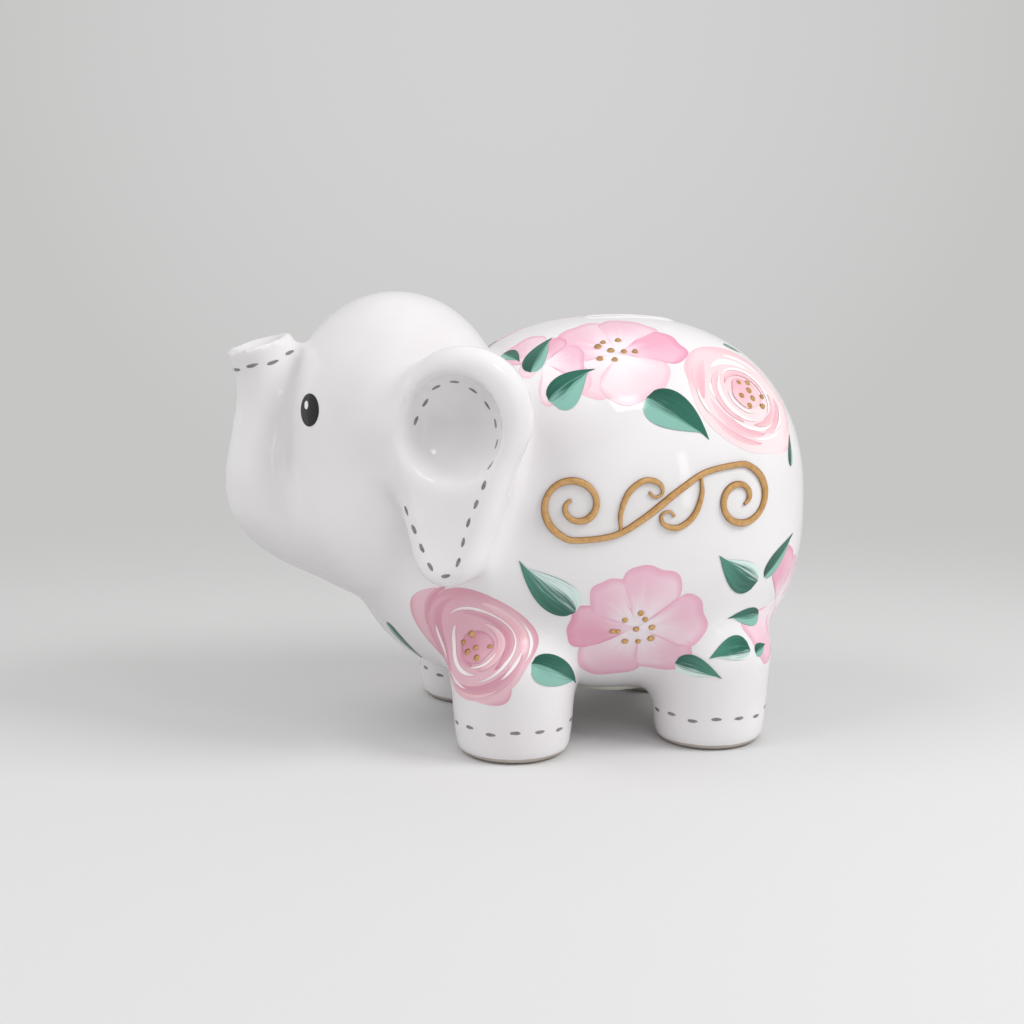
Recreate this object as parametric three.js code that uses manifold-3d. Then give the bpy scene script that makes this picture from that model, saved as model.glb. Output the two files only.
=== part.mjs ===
// Elephant money bank in glazed earthenware: a hollow body with a coin slot in its crest and a
// stopper hole in its belly, closed by a soft rubber stopper that pulls straight down.
// The bank is cast in sections that are luted together before firing, and each section is a mesh.
// Units are millimetres. +Z is up, the elephant faces -Y, and its left side is +X.

import * as THREE from 'three';
import { mergeVertices } from 'three/addons/utils/BufferGeometryUtils.js';
import Module from 'manifold-3d';

const wasm = await Module();
wasm.setup();

// ---- driving dimensions -------------------------------------------------------------------

const WALL = 3.8; // cast wall of every hollow section
const JOINT_GAP = 0.3; // slip joint between two sections

const TORSO = { centre: [0, 34.4, 83], radii: [62, 71.3, 69.4], squareness: 2.35 };
const CHEST = { centre: [0, -16.4, 72.5], radii: [52, 49, 52], squareness: 2 };

const SKULL = { centre: [0, -46.9, 121.1], radii: [45, 38.8, 41.8], squareness: 2 };
const JAW = { centre: [0, -51.5, 88.2], radii: [42, 36, 38], squareness: 2 };
const BROW_WEB = { centre: [0, -83.2, 119.5], radii: [7.5, 13.5, 25], squareness: 2 };
const NECK_OPENING = { radius: 27, y: -40, z: 99, depth: 42 };

const TRUNK_ROUTE = [
  // y, z and radius of the trunk, from its tip down and into the face
  [-96.7, 144.9, 11.5],
  [-95.6, 138, 10.1],
  [-94.7, 129, 9.7],
  [-95.2, 118, 10],
  [-96.6, 107, 10.9],
  [-96.6, 96, 12.6],
  [-92.4, 87, 15],
  [-83, 80.5, 17.5],
  [-71, 79, 21],
];
const NOSTRIL = { radius: 8, depth: 2.6 };

const EAR = {
  root: [50, -40.1, 120], // where the ear's own axes start, on its outer face
  turn: 22, // degrees that the ear faces forward
  lean: 6, // degrees that its top leans out
  crown: { along: -8.5, up: 4.5, radius: 24 },
  lobe: { along: -3.5, up: -41.5, radius: 12.5 },
  roll: 10, // rounding of the rim
  rise: 6.5, // how far the rim's crest stands past the root
  depth: 26, // how far the ear's back reaches into the head and shoulder
  bowl: { along: -5.5, up: 0.5, radii: [17, 18.5, 11] },
  groove: { along: -4, up: -30, radii: [7.5, 20, 4.5] },
};

const LEG = {
  across: 37, // from the middle plane to a leg's axis
  front: -11.3,
  rear: 62.6,
  rearScale: 0.97, // the rear legs are a little slimmer
  profile: [
    // radius and height of the outside, from the standing ring up
    [18.2, 0],
    [19.8, 1.4],
    [21, 5.5],
    [21.8, 15],
    [23.4, 29],
    [23.8, 38],
    [21, 47],
    [13, 54],
  ],
  top: 57,
  recess: { radius: 11.5, depth: 1 }, // unglazed hollow inside the standing ring
  sole: 6,
  corner: 4, // height above the sole where the hollow's side starts
  vent: 3, // radius of the hole that lets the kiln's air out of the leg
};

const SLOT = { length: 31, width: 4.8, y: 40.65 };
const SLOT_LIP = { length: 35, width: 8.6, rise: 0.9 };

const HOLE = { radius: 16, y: 34.4, seatZ: 16.2, seatRadius: 21.5 };
const STOPPER = { flangeRadius: 20, flange: 1.9, radius: 15.7, skin: 2.4, height: 11 };

const TAIL = {
  top: 110,
  bottom: 66,
  sway: 5, // how far the tail's end hangs to the left
  halfWidth: 3.4,
  proud: 1.7, // how far it stands off the rump
  sink: 0.5, // how deep the middles of its root and tuft lie under the surface
  root: [4.4, 2.6, 4],
  tuft: [5.6, 2.6, 9.5],
};

const FLOURISH = {
  y: 36,
  z: 93,
  halfLength: 43,
  bead: 1.2, // radius of the piped gold
  spiral: 12, // radius of each volute
  turns: 1.4,
  eye: 0.2, // size of a volute's inner end, as a share of its radius
  // the sweep from a volute to the middle, counted from the volute's centre in volute radii
  sweep: [
    [1.1, -0.86],
    [1.9, -0.42],
  ],
};

// ---- finishes -----------------------------------------------------------------------------

const finish = (color, roughness, metalness = 0) =>
  new THREE.MeshStandardMaterial({ color, roughness, metalness });

const GLAZE = finish(0xf4f1f2, 0.12);
const RUBBER = finish(0xe7e4dd, 0.55);
const GOLD = finish(0xb98a45, 0.35, 0.85);

// ---- solids -------------------------------------------------------------------------------

function solidOf(geometry) {
  geometry.deleteAttribute('normal');
  geometry.deleteAttribute('uv');
  const merged = mergeVertices(geometry, 1e-4);
  const mesh = new wasm.Mesh({
    numProp: 3,
    vertProperties: new Float32Array(merged.attributes.position.array),
    triVerts: new Uint32Array(merged.index.array),
  });
  mesh.merge();
  return new wasm.Manifold(mesh);
}

function geometryOf(solid) {
  const { vertProperties, triVerts } = solid.getMesh();
  const geometry = new THREE.BufferGeometry();
  geometry.setAttribute('position', new THREE.BufferAttribute(vertProperties, 3));
  geometry.setIndex(new THREE.BufferAttribute(triVerts, 1));
  geometry.computeVertexNormals();
  return geometry;
}

/** An ellipsoid, or with squareness above 2 a fuller one, grown by `grow` on every side. */
function egg({ centre, radii, squareness = 2 }, grow = 0, detail = 5) {
  const geometry = new THREE.IcosahedronGeometry(1, detail);
  const place = geometry.attributes.position;
  const p = new THREE.Vector3();
  for (let i = 0; i < place.count; i += 1) {
    p.fromBufferAttribute(place, i).normalize();
    const power = (v) => Math.abs(v) ** squareness;
    p.multiplyScalar((power(p.x) + power(p.y) + power(p.z)) ** (-1 / squareness));
    place.setXYZ(i, p.x, p.y, p.z);
  }
  geometry.scale(radii[0] + grow, radii[1] + grow, radii[2] + grow);
  geometry.translate(...centre);
  return solidOf(geometry);
}

/** A solid of revolution about Z from [radius, z] points that start and end on the axis. */
function turned(points, sides = 18) {
  const profile = points.map(([r, z]) => new THREE.Vector2(r, z));
  return solidOf(new THREE.LatheGeometry(profile, sides).rotateX(Math.PI / 2));
}

/** A plain round bar from z = low to z = high. */
const bar = (radius, low, high, sides = 24) =>
  turned([[0, low], [radius, low], [radius, high], [0, high]], sides);

/** A bar with half-round ends, lying along Y, as a stamped slot is. */
function stadium(length, width, low, high, y) {
  const straight = length / 2 - width / 2;
  const shape = new THREE.Shape();
  shape.absarc(0, straight, width / 2, 0, Math.PI);
  shape.absarc(0, -straight, width / 2, Math.PI, 2 * Math.PI);
  shape.closePath();
  const options = { depth: high - low, bevelEnabled: false, curveSegments: 8 };
  return solidOf(new THREE.ExtrudeGeometry(shape, options).translate(0, y, low));
}

/** A round bar turned on a lathe and then bent along a route in the middle plane. */
function bentBar(route, trim = 0, sides = 18, steps = 14) {
  const path = new THREE.CatmullRomCurve3(route.map(([y, z]) => new THREE.Vector3(0, y, z)));
  const girth = new THREE.CatmullRomCurve3(
    route.map(([y, z, r]) => new THREE.Vector3(r - trim, y, z)),
  );
  const profile = [new THREE.Vector2(0, 0)];
  for (let i = 0; i <= steps; i += 1) {
    profile.push(new THREE.Vector2(girth.getPoint(i / steps).x, i / steps));
  }
  profile.push(new THREE.Vector2(0, 1));
  const geometry = new THREE.LatheGeometry(profile, sides);
  const place = geometry.attributes.position;
  const across = new THREE.Vector3(1, 0, 0);
  for (let i = 0; i < place.count; i += 1) {
    const t = THREE.MathUtils.clamp(place.getY(i), 0, 1);
    const tangent = path.getTangent(t);
    const out = across.clone().cross(tangent);
    const p = path.getPoint(t);
    p.addScaledVector(across, place.getX(i)).addScaledVector(out, place.getZ(i));
    place.setXYZ(i, p.x, p.y, p.z);
  }
  return solidOf(geometry);
}

/** How far out the torso's left flank lies at (y, z). */
function flankX(y, z) {
  const { centre, radii, squareness: n } = TORSO;
  const along = Math.abs((y - centre[1]) / radii[1]) ** n;
  const up = Math.abs((z - centre[2]) / radii[2]) ** n;
  return radii[0] * Math.max(1 - along - up, 0) ** (1 / n);
}

/** The torso's rearmost y at height z on the middle plane. */
function rumpY(z) {
  const { centre, radii, squareness: n } = TORSO;
  return centre[1] + radii[1] * (1 - Math.abs((z - centre[2]) / radii[2]) ** n) ** (1 / n);
}

// ---- outer forms, as the plaster mould holds them -----------------------------------------

const torsoForm = (grow = 0) => egg(TORSO, grow, 7).add(egg(CHEST, grow, 5));

const headForm = (grow = 0) =>
  egg(SKULL, grow, 5).add(egg(JAW, grow, 5)).add(egg(BROW_WEB, grow, 3));

const legForm = () => {
  const { profile, top } = LEG;
  return turned([[0, profile[0][1]], ...profile, [0, top]]);
};

// ---- sections -----------------------------------------------------------------------------

function makeTorso() {
  const crest = TORSO.centre[2] + TORSO.radii[2];
  const lip = stadium(SLOT_LIP.length, SLOT_LIP.width, crest - WALL, crest + SLOT_LIP.rise, SLOT.y);
  const slot = stadium(SLOT.length, SLOT.width, crest - 3 * WALL, crest + 3 * WALL, SLOT.y);
  const neck = bar(NECK_OPENING.radius, -NECK_OPENING.depth / 2, NECK_OPENING.depth / 2, 36)
    .rotate([90, 0, 0])
    .translate([0, NECK_OPENING.y, NECK_OPENING.z]);
  let shell = torsoForm()
    .add(lip)
    .subtract(egg(TORSO, -WALL, 5))
    .subtract(egg(CHEST, -WALL, 3))
    .subtract(neck)
    .subtract(slot)
    .subtract(bar(HOLE.seatRadius, 0, HOLE.seatZ).translate([0, HOLE.y, 0]))
    .subtract(bar(HOLE.radius, 0, HOLE.seatZ + 3 * WALL).translate([0, HOLE.y, 0]));
  for (const side of [-1, 1]) {
    for (const y of [LEG.front, LEG.rear]) {
      const vent = bar(LEG.vent, LEG.sole + LEG.corner, LEG.top, 12);
      shell = shell.subtract(vent.translate([side * LEG.across, y, 0]));
    }
  }
  return shell;
}

function makeHead() {
  const trunkVent = bar(LEG.vent, 0, 3 * WALL, 12)
    .rotate([90, 0, 0])
    .translate([0, JAW.centre[1] - JAW.radii[1] + 2 * WALL, TRUNK_ROUTE.at(-1)[1]]);
  return headForm()
    .subtract(egg(SKULL, -WALL, 5))
    .subtract(egg(JAW, -WALL, 3))
    .subtract(torsoForm(JOINT_GAP))
    .subtract(trunkVent);
}

function makeTrunk() {
  const [tipY, tipZ] = TRUNK_ROUTE[0];
  const lean = Math.atan2(TRUNK_ROUTE[1][0] - tipY, tipZ - TRUNK_ROUTE[1][1]);
  const { radius, depth } = NOSTRIL;
  const nostril = egg({ centre: [0, 0, 0], radii: [radius, radius, depth] }, 0, 3)
    .rotate([THREE.MathUtils.radToDeg(lean), 0, 0])
    .translate([0, tipY, tipZ]);
  return bentBar(TRUNK_ROUTE)
    .subtract(bentBar(TRUNK_ROUTE.slice(1), WALL, 12, 10))
    .subtract(headForm(JOINT_GAP))
    .subtract(nostril);
}

/** The two round ends of the ear and the straight sides that touch both, in (along, up). */
function earOutline(trim) {
  const { crown, lobe } = EAR;
  const from = new THREE.Vector2(lobe.along, lobe.up);
  const to = new THREE.Vector2(crown.along, crown.up);
  const axis = to.clone().sub(from);
  const heading = axis.angle();
  const open = Math.acos((lobe.radius - crown.radius) / axis.length());
  const shape = new THREE.Shape();
  shape.absarc(to.x, to.y, crown.radius - trim, heading - open, heading + open);
  shape.absarc(from.x, from.y, lobe.radius - trim, heading + open, heading - open + 2 * Math.PI);
  shape.closePath();
  return shape;
}

function makeLeftEar() {
  const { roll, rise, depth, bowl, groove, root, turn, lean } = EAR;
  const slab = new THREE.ExtrudeGeometry(earOutline(roll), {
    depth,
    curveSegments: 9,
    bevelThickness: roll,
    bevelSize: roll,
    bevelSegments: 4,
  }).translate(0, 0, rise - roll - depth);
  const dish = ({ along, up, radii }) => egg({ centre: [along, up, rise + 1], radii }, 0, 3);
  // the outline's (along, up, out) axes become the ear's forward, upward and outward ones
  const ear = solidOf(slab).subtract(dish(bowl)).subtract(dish(groove));
  return ear
    .rotate([90, 0, 90])
    .mirror([0, 1, 0])
    .rotate([0, -lean, 0])
    .rotate([0, 0, -turn])
    .translate(root)
    .subtract(headForm(JOINT_GAP))
    .subtract(torsoForm(JOINT_GAP));
}

function makeLeg(side, y, scale) {
  const { profile, sole, corner, recess, top } = LEG;
  const [ring] = profile[0];
  const inside = profile.filter(([, z]) => z > sole + corner).map(([r, z]) => [r - WALL, z]);
  const throat = inside.at(-1)[0];
  const open = 2 * top; // the hollow runs out through the leg's top, into the body
  const hollow = turned([[0, sole], [ring - WALL, sole], ...inside, [throat, open], [0, open]], 14);
  return legForm()
    .subtract(hollow)
    .subtract(bar(recess.radius, -1, recess.depth))
    .scale([scale, scale, 1])
    .translate([side * LEG.across, y, 0])
    .subtract(torsoForm(JOINT_GAP))
    .subtract(headForm(JOINT_GAP));
}

function makeTail() {
  const { top, bottom, sway, halfWidth, proud, sink, root, tuft } = TAIL;
  const steps = 8;
  const route = [];
  for (let i = 0; i <= steps; i += 1) {
    const t = i / steps;
    const z = top + (bottom - top) * t;
    route.push(new THREE.Vector3(sway * Math.sin(t * Math.PI) * t, rumpY(z), z));
  }
  const section = new THREE.Shape();
  section.absellipse(0, 0, proud + JOINT_GAP, halfWidth, 0, 2 * Math.PI);
  const strand = new THREE.ExtrudeGeometry(section, {
    steps: 12,
    curveSegments: 4,
    extrudePath: new THREE.CatmullRomCurve3(route),
  });
  const end = route.at(-1);
  const tuftForm = egg({ centre: [end.x, end.y - sink, end.z], radii: tuft }, 0, 3);
  const rootForm = egg({ centre: [0, rumpY(top) - sink, top], radii: root }, 0, 2);
  return solidOf(strand).add(tuftForm).add(rootForm).subtract(torsoForm(JOINT_GAP));
}

function makeStopper() {
  const { flangeRadius, flange, radius, skin, height } = STOPPER;
  const seat = HOLE.seatZ - JOINT_GAP;
  const foot = seat - flange;
  const tip = seat + height;
  return turned([
    [0, foot],
    [flangeRadius - 1.2, foot],
    [flangeRadius, foot + 0.7],
    [flangeRadius, seat],
    [radius, seat],
    [radius, tip - 2],
    [radius - 1, tip],
    [radius - skin, tip],
    [radius - skin, seat],
    [0, seat],
  ]).translate([0, HOLE.y, 0]);
}

/** The scroll's route in (y, z): a long sweep with a volute at each end, alike when turned round. */
function scrollPoints() {
  const { y, z, halfLength, spiral, turns, eye, sweep } = FLOURISH;
  const windSteps = 20;
  const hub = spiral - halfLength;
  const half = [];
  for (let i = 0; i <= windSteps; i += 1) {
    const t = i / windSteps;
    const angle = -Math.PI / 2 - turns * 2 * Math.PI * (1 - t);
    const r = spiral * (eye + (1 - eye) * t);
    half.push([hub + r * Math.cos(angle), r * Math.sin(angle)]);
  }
  half.push(...sweep.map(([a, b]) => [hub + a * spiral, b * spiral]));
  const turnedRound = half.map(([a, b]) => [-a, -b]).reverse();
  return [...half, [0, 0], ...turnedRound].map(([a, b]) => [y + a, z + b]);
}

function makeFlourish() {
  const { bead } = FLOURISH;
  const route = scrollPoints().map(
    ([y, z]) => new THREE.Vector3(flankX(y, z) + bead + JOINT_GAP / 3, y, z),
  );
  const section = new THREE.Shape();
  section.absarc(0, 0, bead, 0, 2 * Math.PI);
  const trail = new THREE.ExtrudeGeometry(section, {
    steps: 76,
    curveSegments: 3,
    extrudePath: new THREE.CatmullRomCurve3(route),
  });
  return solidOf(trail);
}

// ---- assembly -----------------------------------------------------------------------------

const bank = new THREE.Group();

function place(name, solid, material) {
  const mesh = new THREE.Mesh(geometryOf(solid), material);
  mesh.name = name;
  bank.add(mesh);
}

place('torso', makeTorso(), GLAZE);
place('head', makeHead(), GLAZE);
place('trunk', makeTrunk(), GLAZE);

const leftEar = makeLeftEar();
place('ear_left', leftEar, GLAZE);
place('ear_right', leftEar.mirror([1, 0, 0]), GLAZE);

for (const [end, y, scale] of [['front', LEG.front, 1], ['rear', LEG.rear, LEG.rearScale]]) {
  for (const [hand, side] of [['left', 1], ['right', -1]]) {
    place(`leg_${end}_${hand}`, makeLeg(side, y, scale), GLAZE);
  }
}

place('tail', makeTail(), GLAZE);
place('gold_flourish', makeFlourish(), GOLD);
place('stopper', makeStopper(), RUBBER);

export default bank;
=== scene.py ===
"""Glazed elephant money bank, hand painted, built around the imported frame.

Sizes are millimetres in the frame's own axes: X across, -Y towards the trunk, Z up. They become
metres only where a mesh is written. The bank's clay body is blocked out from simple solids, fused,
and faired onto one blended form, because its mirror glaze shows every ripple. All the decoration is
paint: thin closed films, one for each stroke of the brush, laid down onto that same form.
"""
import logging
import math
import random
from dataclasses import dataclass, field
from enum import Enum
from typing import Callable, Iterable, Sequence

import bpy
import numpy as np
from mathutils import Matrix, Vector


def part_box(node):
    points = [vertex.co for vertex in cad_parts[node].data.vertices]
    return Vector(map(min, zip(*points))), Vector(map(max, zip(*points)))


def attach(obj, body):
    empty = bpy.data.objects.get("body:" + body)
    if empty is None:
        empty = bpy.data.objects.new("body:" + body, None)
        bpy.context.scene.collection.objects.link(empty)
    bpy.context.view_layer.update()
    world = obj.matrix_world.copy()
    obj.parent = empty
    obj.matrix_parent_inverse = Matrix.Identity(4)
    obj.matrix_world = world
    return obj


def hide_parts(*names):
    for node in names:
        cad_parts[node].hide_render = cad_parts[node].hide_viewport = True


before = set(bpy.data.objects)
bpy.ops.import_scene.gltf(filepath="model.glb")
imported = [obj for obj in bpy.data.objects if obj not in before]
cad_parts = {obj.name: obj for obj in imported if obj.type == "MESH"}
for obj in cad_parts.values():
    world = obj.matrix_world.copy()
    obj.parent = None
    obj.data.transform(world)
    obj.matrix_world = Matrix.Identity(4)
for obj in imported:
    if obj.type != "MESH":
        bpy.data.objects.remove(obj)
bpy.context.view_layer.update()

MM = 0.001
LOG = logging.getLogger("elephant_bank")

Point = tuple[float, float, float]
Flat = tuple[float, float]
Array = np.ndarray


# ---------------------------------------------------------------------------------------------
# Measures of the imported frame
# ---------------------------------------------------------------------------------------------


def span(node: str) -> tuple[Array, Array]:
    """Lowest and highest corner of a frame node.

    Args:
        node: The node's name.

    Returns:
        The two corners, in millimetres.
    """
    low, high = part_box(node)
    return np.array(low) / MM, np.array(high) / MM


# ---------------------------------------------------------------------------------------------
# The blended form of the clay body
# ---------------------------------------------------------------------------------------------


def soft_union(a: Array, b: Array, reach: float | Array) -> Array:
    """Joins two distances with a fillet.

    Args:
        a: Distances to the first solid.
        b: Distances to the second solid.
        reach: How near the two surfaces are, in millimetres, where the fillet starts.

    Returns:
        Distances to the joined solid.
    """
    near = np.maximum(reach - np.abs(a - b), 0) / reach
    return np.minimum(a, b) - near**3 * reach / 6


def soft_limit(a: Array, b: Array, reach: float | Array) -> Array:
    """Keeps what is inside both solids, with a rounded edge between them."""
    return -soft_union(-a, -b, reach)


def ease(t: Array) -> Array:
    """Smooth step from 0 to 1 as t goes from 0 to 1."""
    t = np.clip(t, 0, 1)
    return t * t * (3 - 2 * t)


def smooth_route(points: Sequence[Sequence[float]], steps: int) -> Array:
    """Rounds a route of a few points into a smooth line through all of them.

    Args:
        points: The route's points, of any dimension.
        steps: How many short steps replace each stretch.

    Returns:
        The smooth line's points.
    """
    given = np.array(points, float)
    padded = np.vstack([2 * given[0] - given[1], given, 2 * given[-1] - given[-2]])
    line = []
    for i in range(1, len(padded) - 2):
        before, here, there, after = padded[i - 1 : i + 3]
        for t in np.arange(steps) / steps:
            line.append(
                here
                + 0.5 * t * (there - before)
                + 0.5 * t**2 * (2 * before - 5 * here + 4 * there - after)
                + 0.5 * t**3 * (3 * here - before - 3 * there + after)
            )
    line.append(given[-1])
    return np.array(line)


@dataclass(frozen=True)
class Egg:
    """A squared-off ellipsoid."""

    centre: Point
    radii: Point
    squareness: float = 2.0

    def distance(self, p: Array) -> Array:
        """Signed distance of points from the egg's surface, less than zero inside."""
        n = self.squareness
        scaled = np.abs(p - np.array(self.centre)) / np.array(self.radii)
        total = np.maximum((scaled**n).sum(-1), 1e-9)
        slope = (((scaled ** (n - 1)) / np.array(self.radii)) ** 2).sum(-1) ** 0.5
        slope = slope * total ** (1 / n - 1)
        return (total ** (1 / n) - 1) / np.maximum(slope, 1e-3)


@dataclass(frozen=True)
class Disc:
    """A round patch of an outline in an ear's own plane."""

    along: float
    up: float
    radius: float


def drop_outline(along: Array, up: Array, a: Disc, b: Disc) -> Array:
    """Distance from the outline that wraps two discs as a belt does.

    Args:
        along: First coordinates in the plane.
        up: Second coordinates in the plane.
        a: The larger disc.
        b: The smaller disc.

    Returns:
        Signed distances, less than zero inside.
    """
    axis = np.array([b.along - a.along, b.up - a.up])
    length = float(np.hypot(*axis))
    axis = axis / length
    down = (along - a.along) * axis[0] + (up - a.up) * axis[1]
    side = np.abs(-(along - a.along) * axis[1] + (up - a.up) * axis[0])
    sine = (a.radius - b.radius) / length
    cosine = math.sqrt(1 - sine * sine)
    place = cosine * down - sine * side
    first = np.hypot(side, down) - a.radius
    second = np.hypot(side, down - length) - b.radius
    return np.where(
        place < 0,
        first,
        np.where(place > cosine * length, second, side * cosine + down * sine - a.radius),
    )


@dataclass(frozen=True)
class EarForm:
    """One ear: a thick rolled drop with a deep bowl and a shallow groove down its lobe."""

    root: Point = (50, -40.1, 120)
    turn: float = 22
    lean: float = 6
    crown: Disc = Disc(-8.5, 4.5, 17)
    front: Disc = Disc(2.5, -14, 8.5)
    lobe: Disc = Disc(-4, -41.5, 5.5)
    roll: float = 6.5
    draft: float = 0.35
    depth: float = 34
    bend: float = 0.008
    bowl: Egg = Egg((-5.5, 0.5, 6.5), (17.5, 18.5, 16))
    groove: Egg = Egg((-2.6, -26, 8.8), (10.8, 27, 6.2))
    groove_slant: float = 0.13
    outline_fillet: float = 4
    draft_start: float = 4
    rim_fillet: float = 6
    rim_fillet_back: float = 15
    rim_fillet_front: float = 9
    dish_fillet: float = 9

    def axes(self) -> tuple[Array, Array, Array]:
        """The ear's own axes: along (forward), up and out, as unit vectors."""
        turn, lean = math.radians(self.turn), math.radians(self.lean)
        out = np.array([math.cos(turn), -math.sin(turn), 0])
        along = np.array([-math.sin(turn), -math.cos(turn), 0])
        up = np.array([0, 0, 1.0])
        leaned_up = up * math.cos(lean) - out * math.sin(lean)
        return along, leaned_up, out * math.cos(lean) + up * math.sin(lean)

    def place(self, along: float, up: float, out: float) -> Array:
        """A point of the frame from its place in the ear's own axes."""
        a, u, o = self.axes()
        return np.array(self.root) + a * along + u * up + o * out

    def local(self, p: Array) -> tuple[Array, Array, Array]:
        """Places of points in the ear's own axes."""
        a, u, o = self.axes()
        d = p - np.array(self.root)
        return d @ a, d @ u, d @ o

    def blend_into(self, head: Array, p: Array) -> Array:
        """Joins the ear to the head and shoulder, then presses its bowl and groove.

        Args:
            head: Distances of the points from everything else.
            p: The points, on the left side.

        Returns:
            Distances from the joined form.
        """
        along, up, out = self.local(p)
        out = out + self.bend * np.maximum(along - self.crown.along, 0) ** 2
        edge = soft_union(
            drop_outline(along, up, self.crown, self.lobe),
            drop_outline(along, up, self.crown, self.front),
            self.outline_fillet,
        )
        below = drop_outline(along, up, self.front, self.lobe)
        edge = soft_union(edge, below, self.outline_fillet)
        behind = np.maximum(-out, 0)
        edge = edge + self.draft * (np.hypot(behind, self.draft_start) - self.draft_start)
        proud = np.maximum(out, 0) + np.maximum(-out - self.depth, 0)
        core = np.maximum(edge, np.maximum(out, -out - self.depth))
        slab = np.where((edge <= 0) & (proud <= 0), core, np.hypot(np.maximum(edge, 0), proud))
        back = ease((2 - up) / 26) * ease(-(along + 5) / 13)
        front = ease(along / 12) * ease((up + 30) / 14) * ease((12 - up) / 14)
        reach = self.rim_fillet + self.rim_fillet_back * back + self.rim_fillet_front * front
        form = soft_union(head, slab - self.roll, reach)
        pressed = np.stack([along, up, out], -1)
        slanted = np.stack([along + self.groove_slant * (up + 28), up, out], -1)
        bowl, groove = self.bowl.distance(pressed), self.groove.distance(slanted)
        dish = soft_union(bowl, groove, self.dish_fillet)
        return soft_limit(form, -dish, 4 + 6 * front)


@dataclass(frozen=True)
class LegForm:
    """One leg: a stout turned post that stands on an unglazed ring."""

    across: float
    station: float
    scale: float = 1.0
    heights: tuple[float, ...] = (0, 1.4, 4, 8, 13, 20, 28, 36, 46, 60)
    radii: tuple[float, ...] = (18.2, 19.6, 20.5, 21.1, 21.5, 22, 22.8, 23.6, 24, 24)
    shoulder: float = 27
    dome: float = 24
    fillet: float = 3

    def distance(self, p: Array) -> Array:
        """Signed distance of points on the left side from the leg."""
        r = np.hypot(p[..., 0] - self.across, p[..., 1] - self.station)
        girth = np.interp(p[..., 2], self.heights, self.radii) * self.scale
        post = soft_limit(r - girth, -p[..., 2], self.fillet)
        top = np.hypot(r, np.maximum(p[..., 2] - self.shoulder, 0)) - self.dome
        return soft_limit(post, top, self.fillet)


@dataclass(frozen=True)
class Fillets:
    """How near two surfaces of the body are, in millimetres, where each fillet starts."""

    chest: float = 18
    legs: float = 13
    jaw: float = 20
    neck: float = 7
    brow: float = 7
    trunk: float = 9
    trunk_stretch: float = 1.2
    snout: float = 2.2
    nostril: float = 2.5
    tail: float = 2.4
    tail_stretch: float = 0.8
    hollow_sole: float = 4
    hollow_ear: float = 3


class Stage(Enum):
    """Which surface of the form is asked for."""

    OUTSIDE = "outside"
    HOLLOW = "hollow"


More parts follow.
